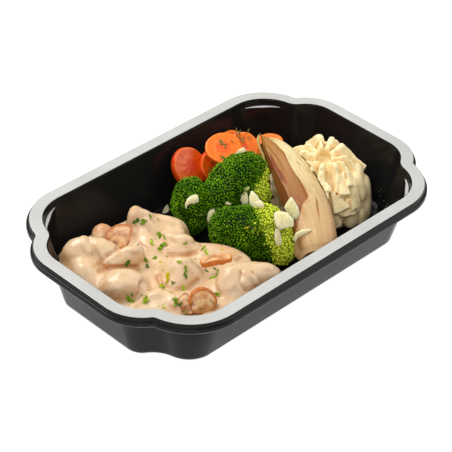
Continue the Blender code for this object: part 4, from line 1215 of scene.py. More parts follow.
def chicory():
    heap = Heap()
    ns, na = 120, 110
    S, A = np.meshgrid(np.linspace(0, 1, ns), np.linspace(0, 2 * math.pi, na, endpoint=False), indexing="ij")
    c, tangent, side, up, hw, ht = station(S.ravel())
    a, s = A.ravel(), S.ravel()
    ribs = 0.30 * noise3(np.stack([np.cos(a) * 2.4, np.sin(a) * 2.4, s * 2.0], -1), 4) * smooth01(s * 5)
    pts = c + side * (np.cos(a) * (hw - 1.3 + ribs))[:, None] + up * (np.sin(a) * (ht - 1.3 + ribs))[:, None]
    i, j = np.meshgrid(np.arange(ns - 1), np.arange(na), indexing="ij")
    i, j = i.ravel(), j.ravel()
    k = (j + 1) % na
    faces = np.stack([i * na + j, i * na + k, (i + 1) * na + k, (i + 1) * na + j], 1)
    tris = np.concatenate([faces[:, [0, 1, 2]], faces[:, [0, 2, 3]]])
    tint = leaf_tint(s, a, 0 * a, "brown", 0)
    tips = np.array([c[0], c[-1] + tangent[-1] * 0.4])
    m = len(pts)
    fan = [[m, q, (q + 1) % na] for q in range(na)] + [[m + 1, (ns - 1) * na + (q + 1) % na, (ns - 1) * na + q] for q in range(na)]
    heap.add(np.concatenate([pts, tips]), np.concatenate([tris, np.array(fan)]), np.concatenate([tint, tint[[0, -1]]]))

    def leaf(s_at, lows, highs, lift, kind, seed, scorch_low=0.0, scorch_high=0.0, scorch_s=(0.0, 1.0), curl=0.35, ragged=0.02, thin=0.8):
        """One leaf lying on the head: its edges are angles given at the places s_at along it."""
        nu, nv = 120, 46
        U, V = np.meshgrid(np.linspace(0, 1, nu), np.linspace(-1, 1, nv), indexing="ij")
        s_at = np.asarray(s_at, float)
        s0, s1 = s_at[0], s_at[-1]
        s_ = s0 + (s1 - s0) * U
        low_, high_ = np.interp(s_, s_at, lows), np.interp(s_, s_at, highs)
        for line in (low_, high_):
            line[2:-2] = (line[:-4] + line[1:-3] * 2 + line[2:-2] * 3 + line[3:-1] * 2 + line[4:]) / 9
        wob = noise3(np.stack([s_ * 16.0, 0 * s_ + seed, np.sign(V) * 3.0], -1), 12) + 0.5 * noise3(np.stack([s_ * 48.0, 0 * s_ + seed, np.sign(V) * 3.0], -1), 13)
        ang = (low_ + high_) / 2 + (high_ - low_) / 2 * V + ragged * wob * np.abs(V)
        rib = 0.16 * noise3(np.stack([ang * 8, U * 2.0, 0 * U + seed], -1), 15) + 0.10 * noise3(np.stack([ang * 26, U * 3.0, 0 * U + seed], -1), 16)
        rib += 0.45 * noise3(np.stack([ang * 1.6, U * 4.0, 0 * U + seed], -1), 18)
        hug = smooth01(U * 9)
        off = (lift + rib) * hug + curl * np.abs(V) ** 6
        out = []
        for layer in (0, 1):
            c_, t_, sd, up_, w_, h_ = station(np.clip(s_, 0, 1).ravel())
            e = (off - layer * thin * (1 - 0.75 * np.abs(V) ** 6)).ravel()
            x, y = np.cos(ang.ravel()), np.sin(ang.ravel())
            out.append(c_ + sd * (x * (w_ + e))[:, None] + up_ * (y * (h_ + e))[:, None])
        q = np.concatenate(out)
        i_, j_ = np.meshgrid(np.arange(nu - 1), np.arange(nv - 1), indexing="ij")
        i_, j_ = i_.ravel(), j_.ravel()
        top = np.stack([i_ * nv + j_, (i_ + 1) * nv + j_, (i_ + 1) * nv + j_ + 1, i_ * nv + j_ + 1], 1)
        N = nu * nv
        rim = [x_ for x_ in range(nv)] + [r * nv + nv - 1 for r in range(1, nu)] + [(nu - 1) * nv + x_ for x_ in range(nv - 2, -1, -1)]
        rim += [r * nv for r in range(nu - 2, 0, -1)]
        rim = np.array(rim)
        nxt = np.roll(rim, -1)
        quads = np.concatenate([top, top[:, ::-1] + N, np.stack([rim, nxt, nxt + N, rim + N], 1)])
        tri = np.concatenate([quads[:, [0, 1, 2]], quads[:, [0, 2, 3]]])
        ts, ta, tv = s_.ravel(), ang.ravel(), V.ravel()
        tint_ = leaf_tint(ts, ta, tv, kind, seed)
        patch = smooth01(0.45 + 1.3 * noise3(np.stack([ta * 4, ts * 14, 0 * ta + seed], -1), 25))
        inside = smooth01((ts - scorch_s[0]) / 0.05) * smooth01((scorch_s[1] - ts) / 0.05)
        burn = smooth01((-tv - 0.52) / 0.42) * scorch_low + smooth01((tv - 0.52) / 0.42) * scorch_high
        burn = (np.clip(burn * patch * inside, 0, 1))[:, None]
        tint_ = tint_ * (1 - burn) + lin(104, 46, 24) * burn
        line_ = (smooth01((np.abs(tv) - 0.94) / 0.06) * 0.35)[:, None]
        tint_ = tint_ * (1 - line_) + lin(182, 120, 66) * line_
        heap.add(q, tri, np.concatenate([tint_, tint_ * 0.85]))

    # under and round the back
    # this one dark: painted shade
    leaf((0.06, 0.4, 1.0), (-1.9, -2.1, -2.2), (-0.2, 0.3, 0.4), -0.5, "dark", 1)
    leaf((0.10, 0.5, 1.0), (3.0, 2.6, 2.4), (4.6, 4.9, 4.9), -0.5, "inner", 2)
    # the shaded leaf at the left, scorched
    leaf((0.12, 0.22, 0.33, 0.5, 0.68, 0.9, 1.0), (0.0, -0.9, -1.1, -1.2, -1.2, -1.1, -0.9), (1.0, 1.3, 1.45, 1.5, 1.5, 1.3, 1.1), -0.25, "dark", 3,
         scorch_high=0.5, scorch_low=0.3, scorch_s=(0.2, 0.7))
    # the middle leaf with its browned left edge
    leaf((0.06, 0.10, 0.15, 0.23, 0.32, 0.40, 0.50, 0.60, 0.75, 1.0), (1.35, 1.30, 1.04, 0.91, 0.84, 0.92, 1.02, 1.0, 0.98, 0.9),
         (1.7, 2.0, 2.2, 2.3, 2.3, 2.2, 2.2, 2.2, 2.0, 1.8), 0.25, "brown", 4, scorch_low=0.95, scorch_s=(0.17, 0.47), curl=0.5)
    # the pale outer leaf on top, towards the right
    leaf((0.09, 0.15, 0.21, 0.28, 0.35, 0.39, 0.45, 0.50, 0.54, 0.585, 0.60, 0.61, 0.65, 0.69, 0.74, 0.80, 0.88, 0.95, 1.0),
         (1.75, 1.91, 1.85, 1.81, 1.70, 1.71, 1.72, 1.82, 1.84, 1.86, 1.84, 1.56, 1.40, 1.22, 1.02, 0.72, 0.20, -0.2, -0.3),
         (2.2, 3.0, 3.5, 3.7, 3.9, 3.9, 4.0, 4.0, 4.0, 4.0, 4.0, 4.0, 4.0, 4.0, 4.0, 3.9, 3.8, 3.6, 3.5), 0.75, "outer", 5, scorch_low=0.16,
         scorch_high=0.3, curl=0.35, ragged=0.012)
    # the separate curled leaf at the tip
    leaf((0.0, 0.03, 0.08, 0.15, 0.22, 0.27), (0.6, -0.3, -0.7, -0.8, -0.7, -0.4), (1.5, 1.3, 0.95, 0.75, 0.62, 0.45), 1.5, "tip", 6, curl=0.8,
         scorch_high=0.25, thin=0.6)
    return heap.build("chicory_head", CHICORY, "chicory", ["chicory"], angle=60)


def close(x, y):
    """A place in the chicory's close-up, in frame units."""
    return 245 + x / 10, 135 + y / 10


def paint(obj, spots):
    """Darken or colour the side of a piece that faces the camera, near places given in frame units."""
    mesh = obj.data
    n = len(mesh.vertices)
    co = np.empty(n * 3)
    mesh.vertices.foreach_get("co", co)
    no = np.empty(n * 3)
    mesh.vertices.foreach_get("normal", no)
    p = co.reshape(-1, 3) / MM
    u, v = project(p)
    facing = smooth01(-((p - EYE) * no.reshape(-1, 3)).sum(1) / np.linalg.norm(p - EYE, axis=1) * 5)
    layer = mesh.color_attributes["tint"]
    col = np.empty(len(layer.data) * 4, np.float32)
    layer.data.foreach_get("color", col)
    col = col.reshape(-1, 4)
    if layer.domain == "CORNER":
        index = np.empty(len(mesh.loops), int)
        mesh.loops.foreach_get("vertex_index", index)
    else:
        index = np.arange(n)
    for line, width, colour, amount in spots:
        k = near_line(u, v, line, width) * facing * amount
        k = k[index][:, None]
        col[:, :3] = col[:, :3] * (1 - k) + np.asarray(colour) * k
    layer.data.foreach_set("color", col.ravel())


chicory_obj = chicory()
SCORCH = lin(136, 54, 8)
paint(chicory_obj, [
    ([close(262, 245), close(300, 320), close(335, 365)], 3.2, SCORCH, 0.95), ([close(345, 370), close(385, 430), close(404, 470)], 2.8, SCORCH, 0.95),
    ([close(300, 330), close(330, 420), close(360, 520)], 2.2, lin(120, 66, 34), 0.6),
    ([close(256, 320), close(268, 342)], 2.0, SCORCH, 0.8), ([close(365, 590), close(372, 625)], 1.0, SCORCH, 0.6),
    ([close(392, 655), close(396, 662)], 0.8, SCORCH, 0.6), ([close(520, 272), close(526, 276)], 0.9, lin(110, 52, 40), 0.9),
    ([close(545, 292), close(550, 296)], 0.9, lin(110, 52, 40), 0.9), ([close(546, 320), close(556, 345)], 0.6, lin(190, 130, 50), 0.6),
    ([close(610, 660), close(596, 730), close(575, 790)], 0.5, lin(214, 130, 60), 0.8), ([close(610, 655), close(662, 656)], 0.4, lin(214, 130, 60), 0.8),
    ([close(300, 90), close(385, 165), close(420, 240)], 0.5, lin(190, 132, 60), 0.6), ([close(510, 196), close(545, 235), close(566, 262)], 0.5, lin(150, 90, 40), 0.7),
    # the broad brown stroke on the lower left of the outer leaf is painted shade
    ([close(490, 880), close(520, 1000), close(560, 1130)], 6.5, lin(140, 86, 34), 0.7), ([close(540, 690), close(520, 660)], 1.6, lin(206, 120, 66), 0.5),
])


# =====================================================================================
# mashed potato
# =====================================================================================
MASH_C, MASH_RX, MASH_RY, MASH_H = np.array([70.5, -8.0]), 29.0, 30.0, 43.0


def chicory_room(P, grow):
    """Above 0 inside the room the chicory takes, and on its far side from the mash."""
    k = np.linspace(0, 1, 60)
    c, tangent, side, up, hw, ht = station(k)
    flat = P.reshape(-1, 3)
    out = np.full(len(flat), -9.0)
    near_box = np.nonzero(flat[:, 0] < 66)[0]
    q = flat[near_box]
    best = np.full(len(q), 1e9)
    which = np.zeros(len(q), int)
    for i in range(len(k)):
        d = (q[:, 0] - c[i, 0]) ** 2 + (q[:, 1] - c[i, 1]) ** 2
        better = d < best
        best[better] = d[better]
        which[better] = i
    rel = q - c[which]
    su, uu = (rel * side[which]).sum(1), (rel * up[which]).sum(1)
    v = np.hypot(su / (hw[which] + grow), uu / (ht[which] + grow))
    out[near_box] = np.maximum((1 - v) * 9, np.minimum(su, (1.9 - v) * 9))
    return out.reshape(P.shape[:-1])


def mash():
    step = 0.56
    lo = np.array([38.0, -41.0, 0.6])
    hi = np.array([103.0, 25.0, 48.2])
    ax = [np.arange(lo[k], hi[k], step) for k in range(3)]
    X, Y, Z = np.meshgrid(*ax, indexing="ij")
    P = np.stack([X, Y, Z], -1)
    rng = np.random.default_rng(23)
    C = np.array([MASH_C[0], MASH_C[1], 0.0])
    f = egg(P + 0.9 * np.stack([noise_grid(ax, 8.0, q) for q in (61, 62, 63)], -1), C + (0, 0, 14.0), (25.6, 26.4, 24.5))
    f = soft_max(f, -egg(P, C + (0, 0, 43.0), (5.5, 5.5, 7.5)), 1.0)
    f = f + 0.35 * noise_grid(ax, 3.0, 64, 2)
    W = P + 0.45 * np.stack([noise_grid(ax, 4.2, q, 2) for q in (65, 66, 67)], -1)

    def chunk(centre, frame_, planes, k=0.45, soft=0.55):
        """Join a broken block to the mound: planes are (normal in its own axes, distance)."""
        nonlocal f
        reach = 13.0
        i0 = [max(0, int((centre[q] - reach - lo[q]) / step)) for q in range(3)]
        i1 = [min(len(ax[q]), int((centre[q] + reach - lo[q]) / step) + 2) for q in range(3)]
        if any(b - a < 2 for a, b in zip(i0, i1)):
            return
        sl = tuple(slice(a, b) for a, b in zip(i0, i1))
        q_ = (W[sl] - centre) @ frame_.T
        d = np.full(q_.shape[:-1], -9.0)
        for n_, dist in planes:
            d = soft_max(d, q_ @ unit(n_) - dist, soft)
        f[sl] = soft_min(f[sl], d, k)

    def axes(a, lean, spin=0.0):
        """Rows: across, up along the surface, outwards, at azimuth a."""
        out = np.array([math.cos(a) * math.cos(lean), math.sin(a) * math.cos(lean), math.sin(lean)])
        across = np.array([-math.sin(a), math.cos(a), 0.0])
        up_ = np.cross(out, across)
        c_, s_ = math.cos(spin), math.sin(spin)
        return np.array([across * c_ + up_ * s_, up_ * c_ - across * s_, out])

    def block(a, r, z, w, h, t, lean=0.3, spin=0.0, taper=0.25, slope=0.0, tip=0.5, k=0.45):
        """w across, h up, t outwards, all half sizes."""
        c_ = C + (r * math.cos(a), r * math.sin(a) * 1.03, z)
        j = rng.uniform(-0.12, 0.12, 8)
        chunk(c_, axes(a, lean, spin), [
            ((1, taper + j[0], j[1]), w), ((-1, taper + j[2], j[3]), w), ((slope, 1, tip + j[4]), h), ((slope * 0.5 + j[5], 1, -0.7), h * 1.02),
            ((j[6], -1, 0.35), h), ((j[7], 0.30, 1), t), ((0, -0.1, -1), t)], k)

    # the star on top: long ridges running out from the hollow, each ending in a torn peak
    star = [(-2.95, 1.0, 2.4), (-2.45, 1.0, 2.7), (-1.93, 1.0, 2.8), (-1.42, 0.95, 2.3), (-0.93, 1.0, 3.0), (-0.30, 1.05, 3.4), (0.35, 1.1, 3.6),
            (0.98, 1.15, 3.8), (1.60, 1.0, 3.0), (2.25, 1.0, 3.2), (2.85, 0.9, 2.6)]
    for a, tall, wide_ in star:
        a += rng.uniform(-0.06, 0.06)
        top = 42.5 + 3.8 * (tall - 1) / 0.15 + rng.uniform(-0.6, 0.6)
        top = min(top, 46.6)
        for r, z, h in ((8.2, top - 7.0, 6.0), (12.6, top - 6.2, 6.4), (16.8, top - 8.8, 6.6)):
            block(a + rng.uniform(-0.03, 0.03), r, z, wide_ * rng.uniform(0.85, 1.05) * (0.72 if r < 10 else 1.0), h, 3.4, lean=0.05 if r < 14 else 0.35,
                  taper=0.30, slope=rng.uniform(-0.3, 0.3), tip=0.25 if r < 10 else 0.45)
    # broken petals down the side
    for row, (z, r, lean, n, h, t) in enumerate(((31.0, 20.6, 0.62, 13, 6.6, 3.2), (24.5, 23.6, 0.42, 14, 6.6, 3.0), (17.8, 25.0, 0.22, 18, 5.4, 2.8),
                                               (10.5, 25.2, 0.05, 17, 5.6, 2.6))):
        for i in range(n):
            a = 2 * math.pi * (i + 0.5 * (row % 2)) / n + rng.uniform(-0.13, 0.13)
            a = (a + math.pi) % (2 * math.pi) - math.pi
            if -1.72 < a < -0.45:
                continue
            block(a, r + rng.uniform(-1.1, 1.3), z + rng.uniform(-1.8, 1.8), rng.uniform(2.2, 3.8), h * rng.uniform(0.75, 1.1), t * rng.uniform(0.8, 1.1),
                  lean=lean + rng.uniform(-0.2, 0.2), spin=rng.uniform(-0.38, 0.38), taper=rng.uniform(0.05, 0.45), slope=rng.uniform(-0.7, 0.7),
                  tip=rng.uniform(0.1, 0.7))
            if rng.uniform() < 0.6:
                block(a + rng.uniform(0.05, 0.16), r + rng.uniform(0.2, 1.8), z + rng.uniform(-3.5, 3.5), rng.uniform(1.2, 2.0), rng.uniform(1.8, 3.6),
                      1.9, lean=lean, spin=rng.uniform(-0.8, 0.8), taper=rng.uniform(0.2, 0.5), slope=rng.uniform(-0.8, 0.8))
    # the smooth folds at the right
    for a, r, z, w, h, t, k in ((-1.52, 22.2, 22.0, 3.8, 11.0, 4.6, 0.8), (-1.18, 21.4, 24.5, 4.6, 9.5, 4.8, 0.8), (-1.14, 23.0, 11.0, 5.0, 8.0, 4.6, 0.8),
                                (-0.78, 23.4, 15.0, 6.6, 12.0, 6.4, 1.0), (-0.36, 22.0, 14.0, 6.0, 10.5, 5.4, 1.0), (-1.60, 24.6, 9.0, 5.0, 6.0, 3.6, 0.8),
                                (-0.85, 19.4, 29.5, 5.4, 6.0, 4.4, 0.8), (-0.92, 25.4, 7.5, 8.0, 7.0, 5.0, 1.0), (-1.25, 25.6, 6.5, 6.0, 5.6, 4.0, 0.8)):
        c_ = C + (r * math.cos(a), r * math.sin(a) * 1.03, z)
        fr = axes(a, 0.12 if z < 20 else 0.35)
        i0 = [max(0, int((c_[q] - 16 - lo[q]) / step)) for q in range(3)]
        i1 = [min(len(ax[q]), int((c_[q] + 16 - lo[q]) / step) + 2) for q in range(3)]
        sl = tuple(slice(x_, y_) for x_, y_ in zip(i0, i1))
        q_ = (P[sl] - c_) @ fr.T
        rr = np.array([w, h, t])
        k0 = (np.abs(q_ / rr) ** 3).sum(-1) ** (1 / 3)
        f[sl] = soft_min(f[sl], (k0 - 1) * min(w, t), k)
    f = np.maximum(f, 1.2 - Z)
    f = np.maximum(f, Z - 47.3)
    f = np.maximum(f, chicory_room(P, 1.2))
    points, quads = surface_net(f, lo, step)
    edges = edges_of(quads)
    n = len(points)
    points = spread(points, edges, n, 2, keep=0.5)
    points[:, 2] = np.clip(points[:, 2], 1.2, 47.4)
    normals = vertex_normals(points, quads)
    points = points + normals * (0.16 * noise3(points / 1.3, 71) * (points[:, 2] > 1.6))[:, None]
    points[:, 2] = np.clip(points[:, 2], 1.2, 47.4)
    fine = hollowness(points, normals, edges, 8)
    wide_ = hollowness(points, normals, edges, 26)
    # hollows get the deeper yellow: painted shade
    t = smooth01(0.30 + 0.55 * fine + 0.30 * wide_ + 0.10 * noise3(points / 4.0, 72))
    light, deep = lin(250, 231, 180), lin(224, 176, 92)
    tint = light * (1 - t[:, None]) + deep * t[:, None]
    return make("mash_mound", points, quads, MASH, "mash", tint, ["mash"])


MASH = food("mashed_potato_piped", rough=(0.42, 0.58), sss=0.35, scale=0.003, radius=(1.0, 0.8, 0.5), bump=(0.2, 0.2, 1.0), coat=0.12,
            vary=0.03, vary_size=2.4)
mash_obj = mash()
paint(mash_obj, [([(355.2, 195.3), (355.4, 195.5)], 0.7, lin(60, 44, 40), 0.9)])


# =====================================================================================
# onion
# =====================================================================================
def resample(line, n):
    line = np.asarray(line, float)
    d = np.concatenate([[0], np.cumsum(np.linalg.norm(np.diff(line, axis=0), axis=1))])
    t = np.linspace(0, d[-1], n)
    out = np.stack([np.interp(t, d, line[:, k]) for k in range(line.shape[1])], 1)
    out[1:-1] = (out[:-2] + 2 * out[1:-1] + out[2:]) / 4
    return out


def on_plane(u, v, centre, normal):
    """Where the camera's line through (u, v) meets the plane."""
    d = ray(u, v)
    n = unit(normal)
    return EYE + d * ((np.asarray(centre, float) - EYE) @ n) / (d @ n)


def petal(rail_a, rail_b, centre, normal, thick=0.6, bulge=1.0, arch=0.8, seed=0, n=(34, 16), warm=0.0):
    """A bent shard of onion layer between two rails given in frame units, standing on a plane. Returns points, quads, tint."""
    nu, nv = n
    A, B = resample(rail_a, nu), resample(rail_b, nu)
    w = unit(normal)
    pts, edge, U, V = [], [], [], []
    for i in range(nu):
        a3, b3 = on_plane(*A[i], centre, w), on_plane(*B[i], centre, w)
        t = np.linspace(0, 1, nv)
        x = i / (nu - 1)
        lift = 0.9 * bulge * (1 - (2 * t - 1) ** 2) * min(1.0, np.linalg.norm(b3 - a3) / 4.0) + arch * (1 - (2 * x - 1) ** 2)
        pts.append(a3 + np.outer(t, b3 - a3) + np.outer(lift, w))
        U.append(np.full(nv, x))
        V.append(t)
    mid = np.concatenate(pts)
    U, V = np.concatenate(U), np.concatenate(V)
    mid = mid + np.outer(0.14 * noise3(mid / 2.2 + seed, 5), w)
    e = np.maximum(np.abs(2 * U - 1), np.abs(2 * V - 1))
    ragged = smooth01((e - 0.6) / 0.4) * 0.10
    mid = mid + np.stack([noise3(mid / 1.3 + seed, 6), noise3(mid / 1.3 + seed, 7), noise3(mid / 1.3 + seed, 8)], -1) * ragged[:, None]
    half = thick / 2 * (1 - 0.6 * smooth01((e - 0.88) / 0.12))
    both = np.concatenate([mid + half[:, None] * w, mid - half[:, None] * w])
    N = nu * nv
    i, j = np.meshgrid(np.arange(nu - 1), np.arange(nv - 1), indexing="ij")
    i, j = i.ravel(), j.ravel()
    top = np.stack([i * nv + j, (i + 1) * nv + j, (i + 1) * nv + j + 1, i * nv + j + 1], 1)
    rim = list(range(nv)) + [q * nv + nv - 1 for q in range(1, nu)] + [(nu - 1) * nv + q for q in range(nv - 2, -1, -1)] + [q * nv for q in range(nu - 2, 0, -1)]
    rim = np.array(rim)
    nxt = np.roll(rim, -1)
    quads = np.concatenate([top, top[:, ::-1] + N, np.stack([rim, rim + N, nxt + N, nxt], 1)])
    stripe = noise3(np.stack([U * 1.2, V * 9, 0 * U + seed], -1), 8)
    tint = lin(252, 240, 188) * (1 + 0.26 * stripe[:, None])
    k = (smooth01((e - 0.74) / 0.26) * 0.45)[:, None]
    tint = tint * (1 - k) + lin(252, 242, 206) * k
    k = (smooth01((0.75 - e) / 0.6) * 0.45)[:, None]
    tint = tint * (1 - k) + lin(236, 214, 142) * k
    k = (smooth01((U - 0.72) / 0.28 + 0.3 * noise3(mid / 2.0, 9)) * warm)[:, None]
    tint = tint * (1 - k) + lin(226, 150, 84) * k
    return both, quads, np.concatenate([tint, tint])


def big(x, y):
    """A place in the vegetables' close-up, in frame units."""
    return 160 + x / 11.2, 125 + y / 11.2


def wide(x, y):
    return 160 + x / 6.53, 110 + y / 6.53


ONION = food("onion_soft", rough=(0.24, 0.36), sss=0.35, scale=0.0025, radius=(1.0, 0.9, 0.65), bump=(0.08, 0.1, 0.9), coat=0.12, vary=0.05,
             vary_size=1.8, glassy=0.12, spec=0.25)


def onions():
    veg = ground(broc_left, broc_middle, broc_front, chicory_obj, mash_obj, sauce_obj, bpy.data.objects["tray_body"])

    def add(name, rail_a, rail_b, spot, mix, node=None, depth=None, **how):
        where, n = seen_at(veg, *spot)
        normal = unit(unit(n) * mix + TOWARDS * (1 - mix))
        centre = where + normal * (0.9 if depth is None else depth)
        p, f, t = petal(rail_a, rail_b, centre, normal, **how)
        make(name, p, f, ONION, "onion", t, [node] if node else ())

    add("onion_left_shard", [big(288, 938), big(276, 890), big(300, 830), big(345, 790), big(412, 770)],
        [big(293, 938), big(306, 900), big(345, 885), big(398, 880), big(436, 858)], big(350, 850), 0.35, "onion_left", seed=1, bulge=1.3, depth=1.1)
    add("onion_small_shard", [big(565, 935), big(535, 985), big(525, 1040), big(535, 1098)],
        [big(620, 930), big(619, 985), big(608, 1040), big(612, 1086)], big(575, 1000), 0.3, seed=2, bulge=1.0, warm=0.8)
    add("onion_upright_shard", [big(925, 716), big(898, 770), big(895, 830), big(925, 892)],
        [big(958, 716), big(978, 770), big(988, 830), big(985, 885)], big(940, 850), 0.2, seed=3, bulge=1.0, depth=1.6)
    add("onion_folded_shard", [big(1018, 740), big(1000, 810), big(1006, 880), big(1042, 932)],
        [big(1040, 738), big(1095, 795), big(1125, 850), big(1100, 935)], big(1050, 890), 0.2, "onion_folded", seed=4, bulge=1.4, depth=2.0)
    add("onion_folded_inner_shard", [big(1060, 860), big(1075, 905), big(1110, 945)],
        [big(1130, 840), big(1160, 890), big(1165, 935)], big(1110, 900), 0.2, seed=5, bulge=0.8, depth=1.0, warm=0.6)
    add("onion_wide_shard", [big(1275, 985), big(1272, 1060), big(1300, 1140), big(1345, 1176)],
        [big(1335, 962), big(1425, 985), big(1492, 1060), big(1498, 1135)], big(1330, 1085), 0.35, "onion_wide", seed=6, bulge=1.4, depth=2.4, thick=0.8)
    add("onion_tall_shard", [big(1462, 808), big(1425, 860), big(1392, 925), big(1440, 1005), big(1500, 1062)],
        [big(1478, 806), big(1515, 860), big(1555, 930), big(1570, 1000), big(1556, 1066)], big(1470, 1000), 0.25, "onion_tall", seed=7, bulge=1.5,
        depth=3.0, thick=0.8)
    add("onion_strip_shard", [wide(750, 772), wide(744, 820), wide(750, 865), wide(765, 885)],
        [wide(776, 770), wide(788, 820), wide(792, 862), wide(792, 880)], wide(768, 830), 0.3, seed=8, bulge=0.7)
    add("onion_curl_shard", [wide(868, 845), wide(885, 805), wide(930, 780), wide(985, 775)],
        [wide(884, 862), wide(906, 833), wide(946, 812), wide(988, 790)], wide(920, 805), 0.3, seed=9, bulge=0.7, arch=1.2)
    add("onion_edge_shard", [wide(489, 290), wide(508, 262), wide(545, 240)],
        [wide(500, 293), wide(532, 280), wide(568, 268)], wide(532, 272), 0.2, seed=10, bulge=0.6, warm=0.7, depth=1.4)
    add("onion_corner_shard", [big(728, 892), big(735, 868), big(745, 850)],
        [big(760, 896), big(785, 890), big(806, 884)], big(765, 886), 0.2, seed=11, bulge=0.4, thick=0.8)
    add("onion_floor_shard", [wide(14, 672), wide(30, 640), wide(48, 615)],
        [wide(30, 680), wide(52, 672), wide(64, 650)], wide(40, 650), 0.6, seed=12, bulge=0.5)


onions()


# =====================================================================================
# herbs
# =====================================================================================
PARSLEY = food("parsley_chopped", rough=(0.4, 0.55), sss=0.0, bump=(0.2, 0.08, 0.5), coat=0.0, vary=0.1, vary_size=0.8, spec=0.25)


def sprig(heap, where, normal, size, rng, tone, long=1.0):
    """A chopped bit of curly leaf: small cupped lobes along a crooked stalk, resting on a surface."""
    w = unit(normal)
    u = unit(np.cross(w, rng.normal(0, 1, 3)))
    if long > 1.2:
        u = unit(u * 0.4 + UP * rng.uniform(0.6, 1.0) + RIGHT * rng.uniform(-0.7, 0.7))
        u = unit(u - w * (u @ w))
    v = np.cross(w, u)
    lobes = max(3, int(size * 2.6 * long))
    for k in range(lobes):
        t = (k + 0.5) / lobes - 0.5
        c = np.asarray(where) + u * t * size * long + v * rng.normal(0, 0.16) * size + w * rng.uniform(0.12, 0.40)
        a = rng.uniform(0, 2 * math.pi)
        r = min(0.85, size * rng.uniform(0.18, 0.30))
        d1 = u * math.cos(a) + v * math.sin(a)
        n = unit(w + rng.normal(0, 0.45, 3))
        d1 = unit(d1 - n * (d1 @ n))
        d2 = np.cross(n, d1)
        na, rings = 14, (0.35, 0.7, 1.0)
        pts = [c]
        teeth = rng.uniform(0, 6.28)
        for q in rings:
            for i in range(na):
                b = 2 * math.pi * i / na
                jag = 1 + (0.30 * math.cos(3.5 * b + teeth) + 0.18 * math.cos(7 * b)) * q
                lift = 0.22 * r * math.sin(4 * b + teeth) * q + 0.30 * r * q * q
                pts.append(c + (d1 * math.cos(b) * 1.35 + d2 * math.sin(b) * 0.8) * r * q * jag + n * lift)
        top = np.array(pts)
        m = len(top)
        both = np.concatenate([top, top - n * 0.14])
        faces = [(0, 1 + i, 1 + (i + 1) % na) for i in range(na)]
        for q in range(len(rings) - 1):
            for i in range(na):
                j = (i + 1) % na
                x0, y0 = 1 + q * na, 1 + (q + 1) * na
                faces += [(x0 + i, y0 + i, y0 + j), (x0 + i, y0 + j, x0 + j)]
        low_ = [(c_ + m, b_ + m, a_ + m) for a_, b_, c_ in faces]
        edge = 1 + (len(rings) - 1) * na
        for i in range(na):
            j = (i + 1) % na
            low_ += [(edge + i, edge + i + m, edge + j + m), (edge + i, edge + j + m, edge + j)]
        shade = np.asarray(tone) * rng.uniform(0.65, 1.25)
        heap.add(both, np.array(faces + low_), shade)
    path = [np.asarray(where) + u * x * size * long + v * 0.10 * size * math.sin(5 * x) + w * 0.22 for x in np.linspace(-0.5, 0.5, 6)]
    p, f = tube(path, [0.16, 0.18, 0.18, 0.18, 0.16, 0.10], 6)
    heap.add(p, f, np.asarray(tone) * 1.25)


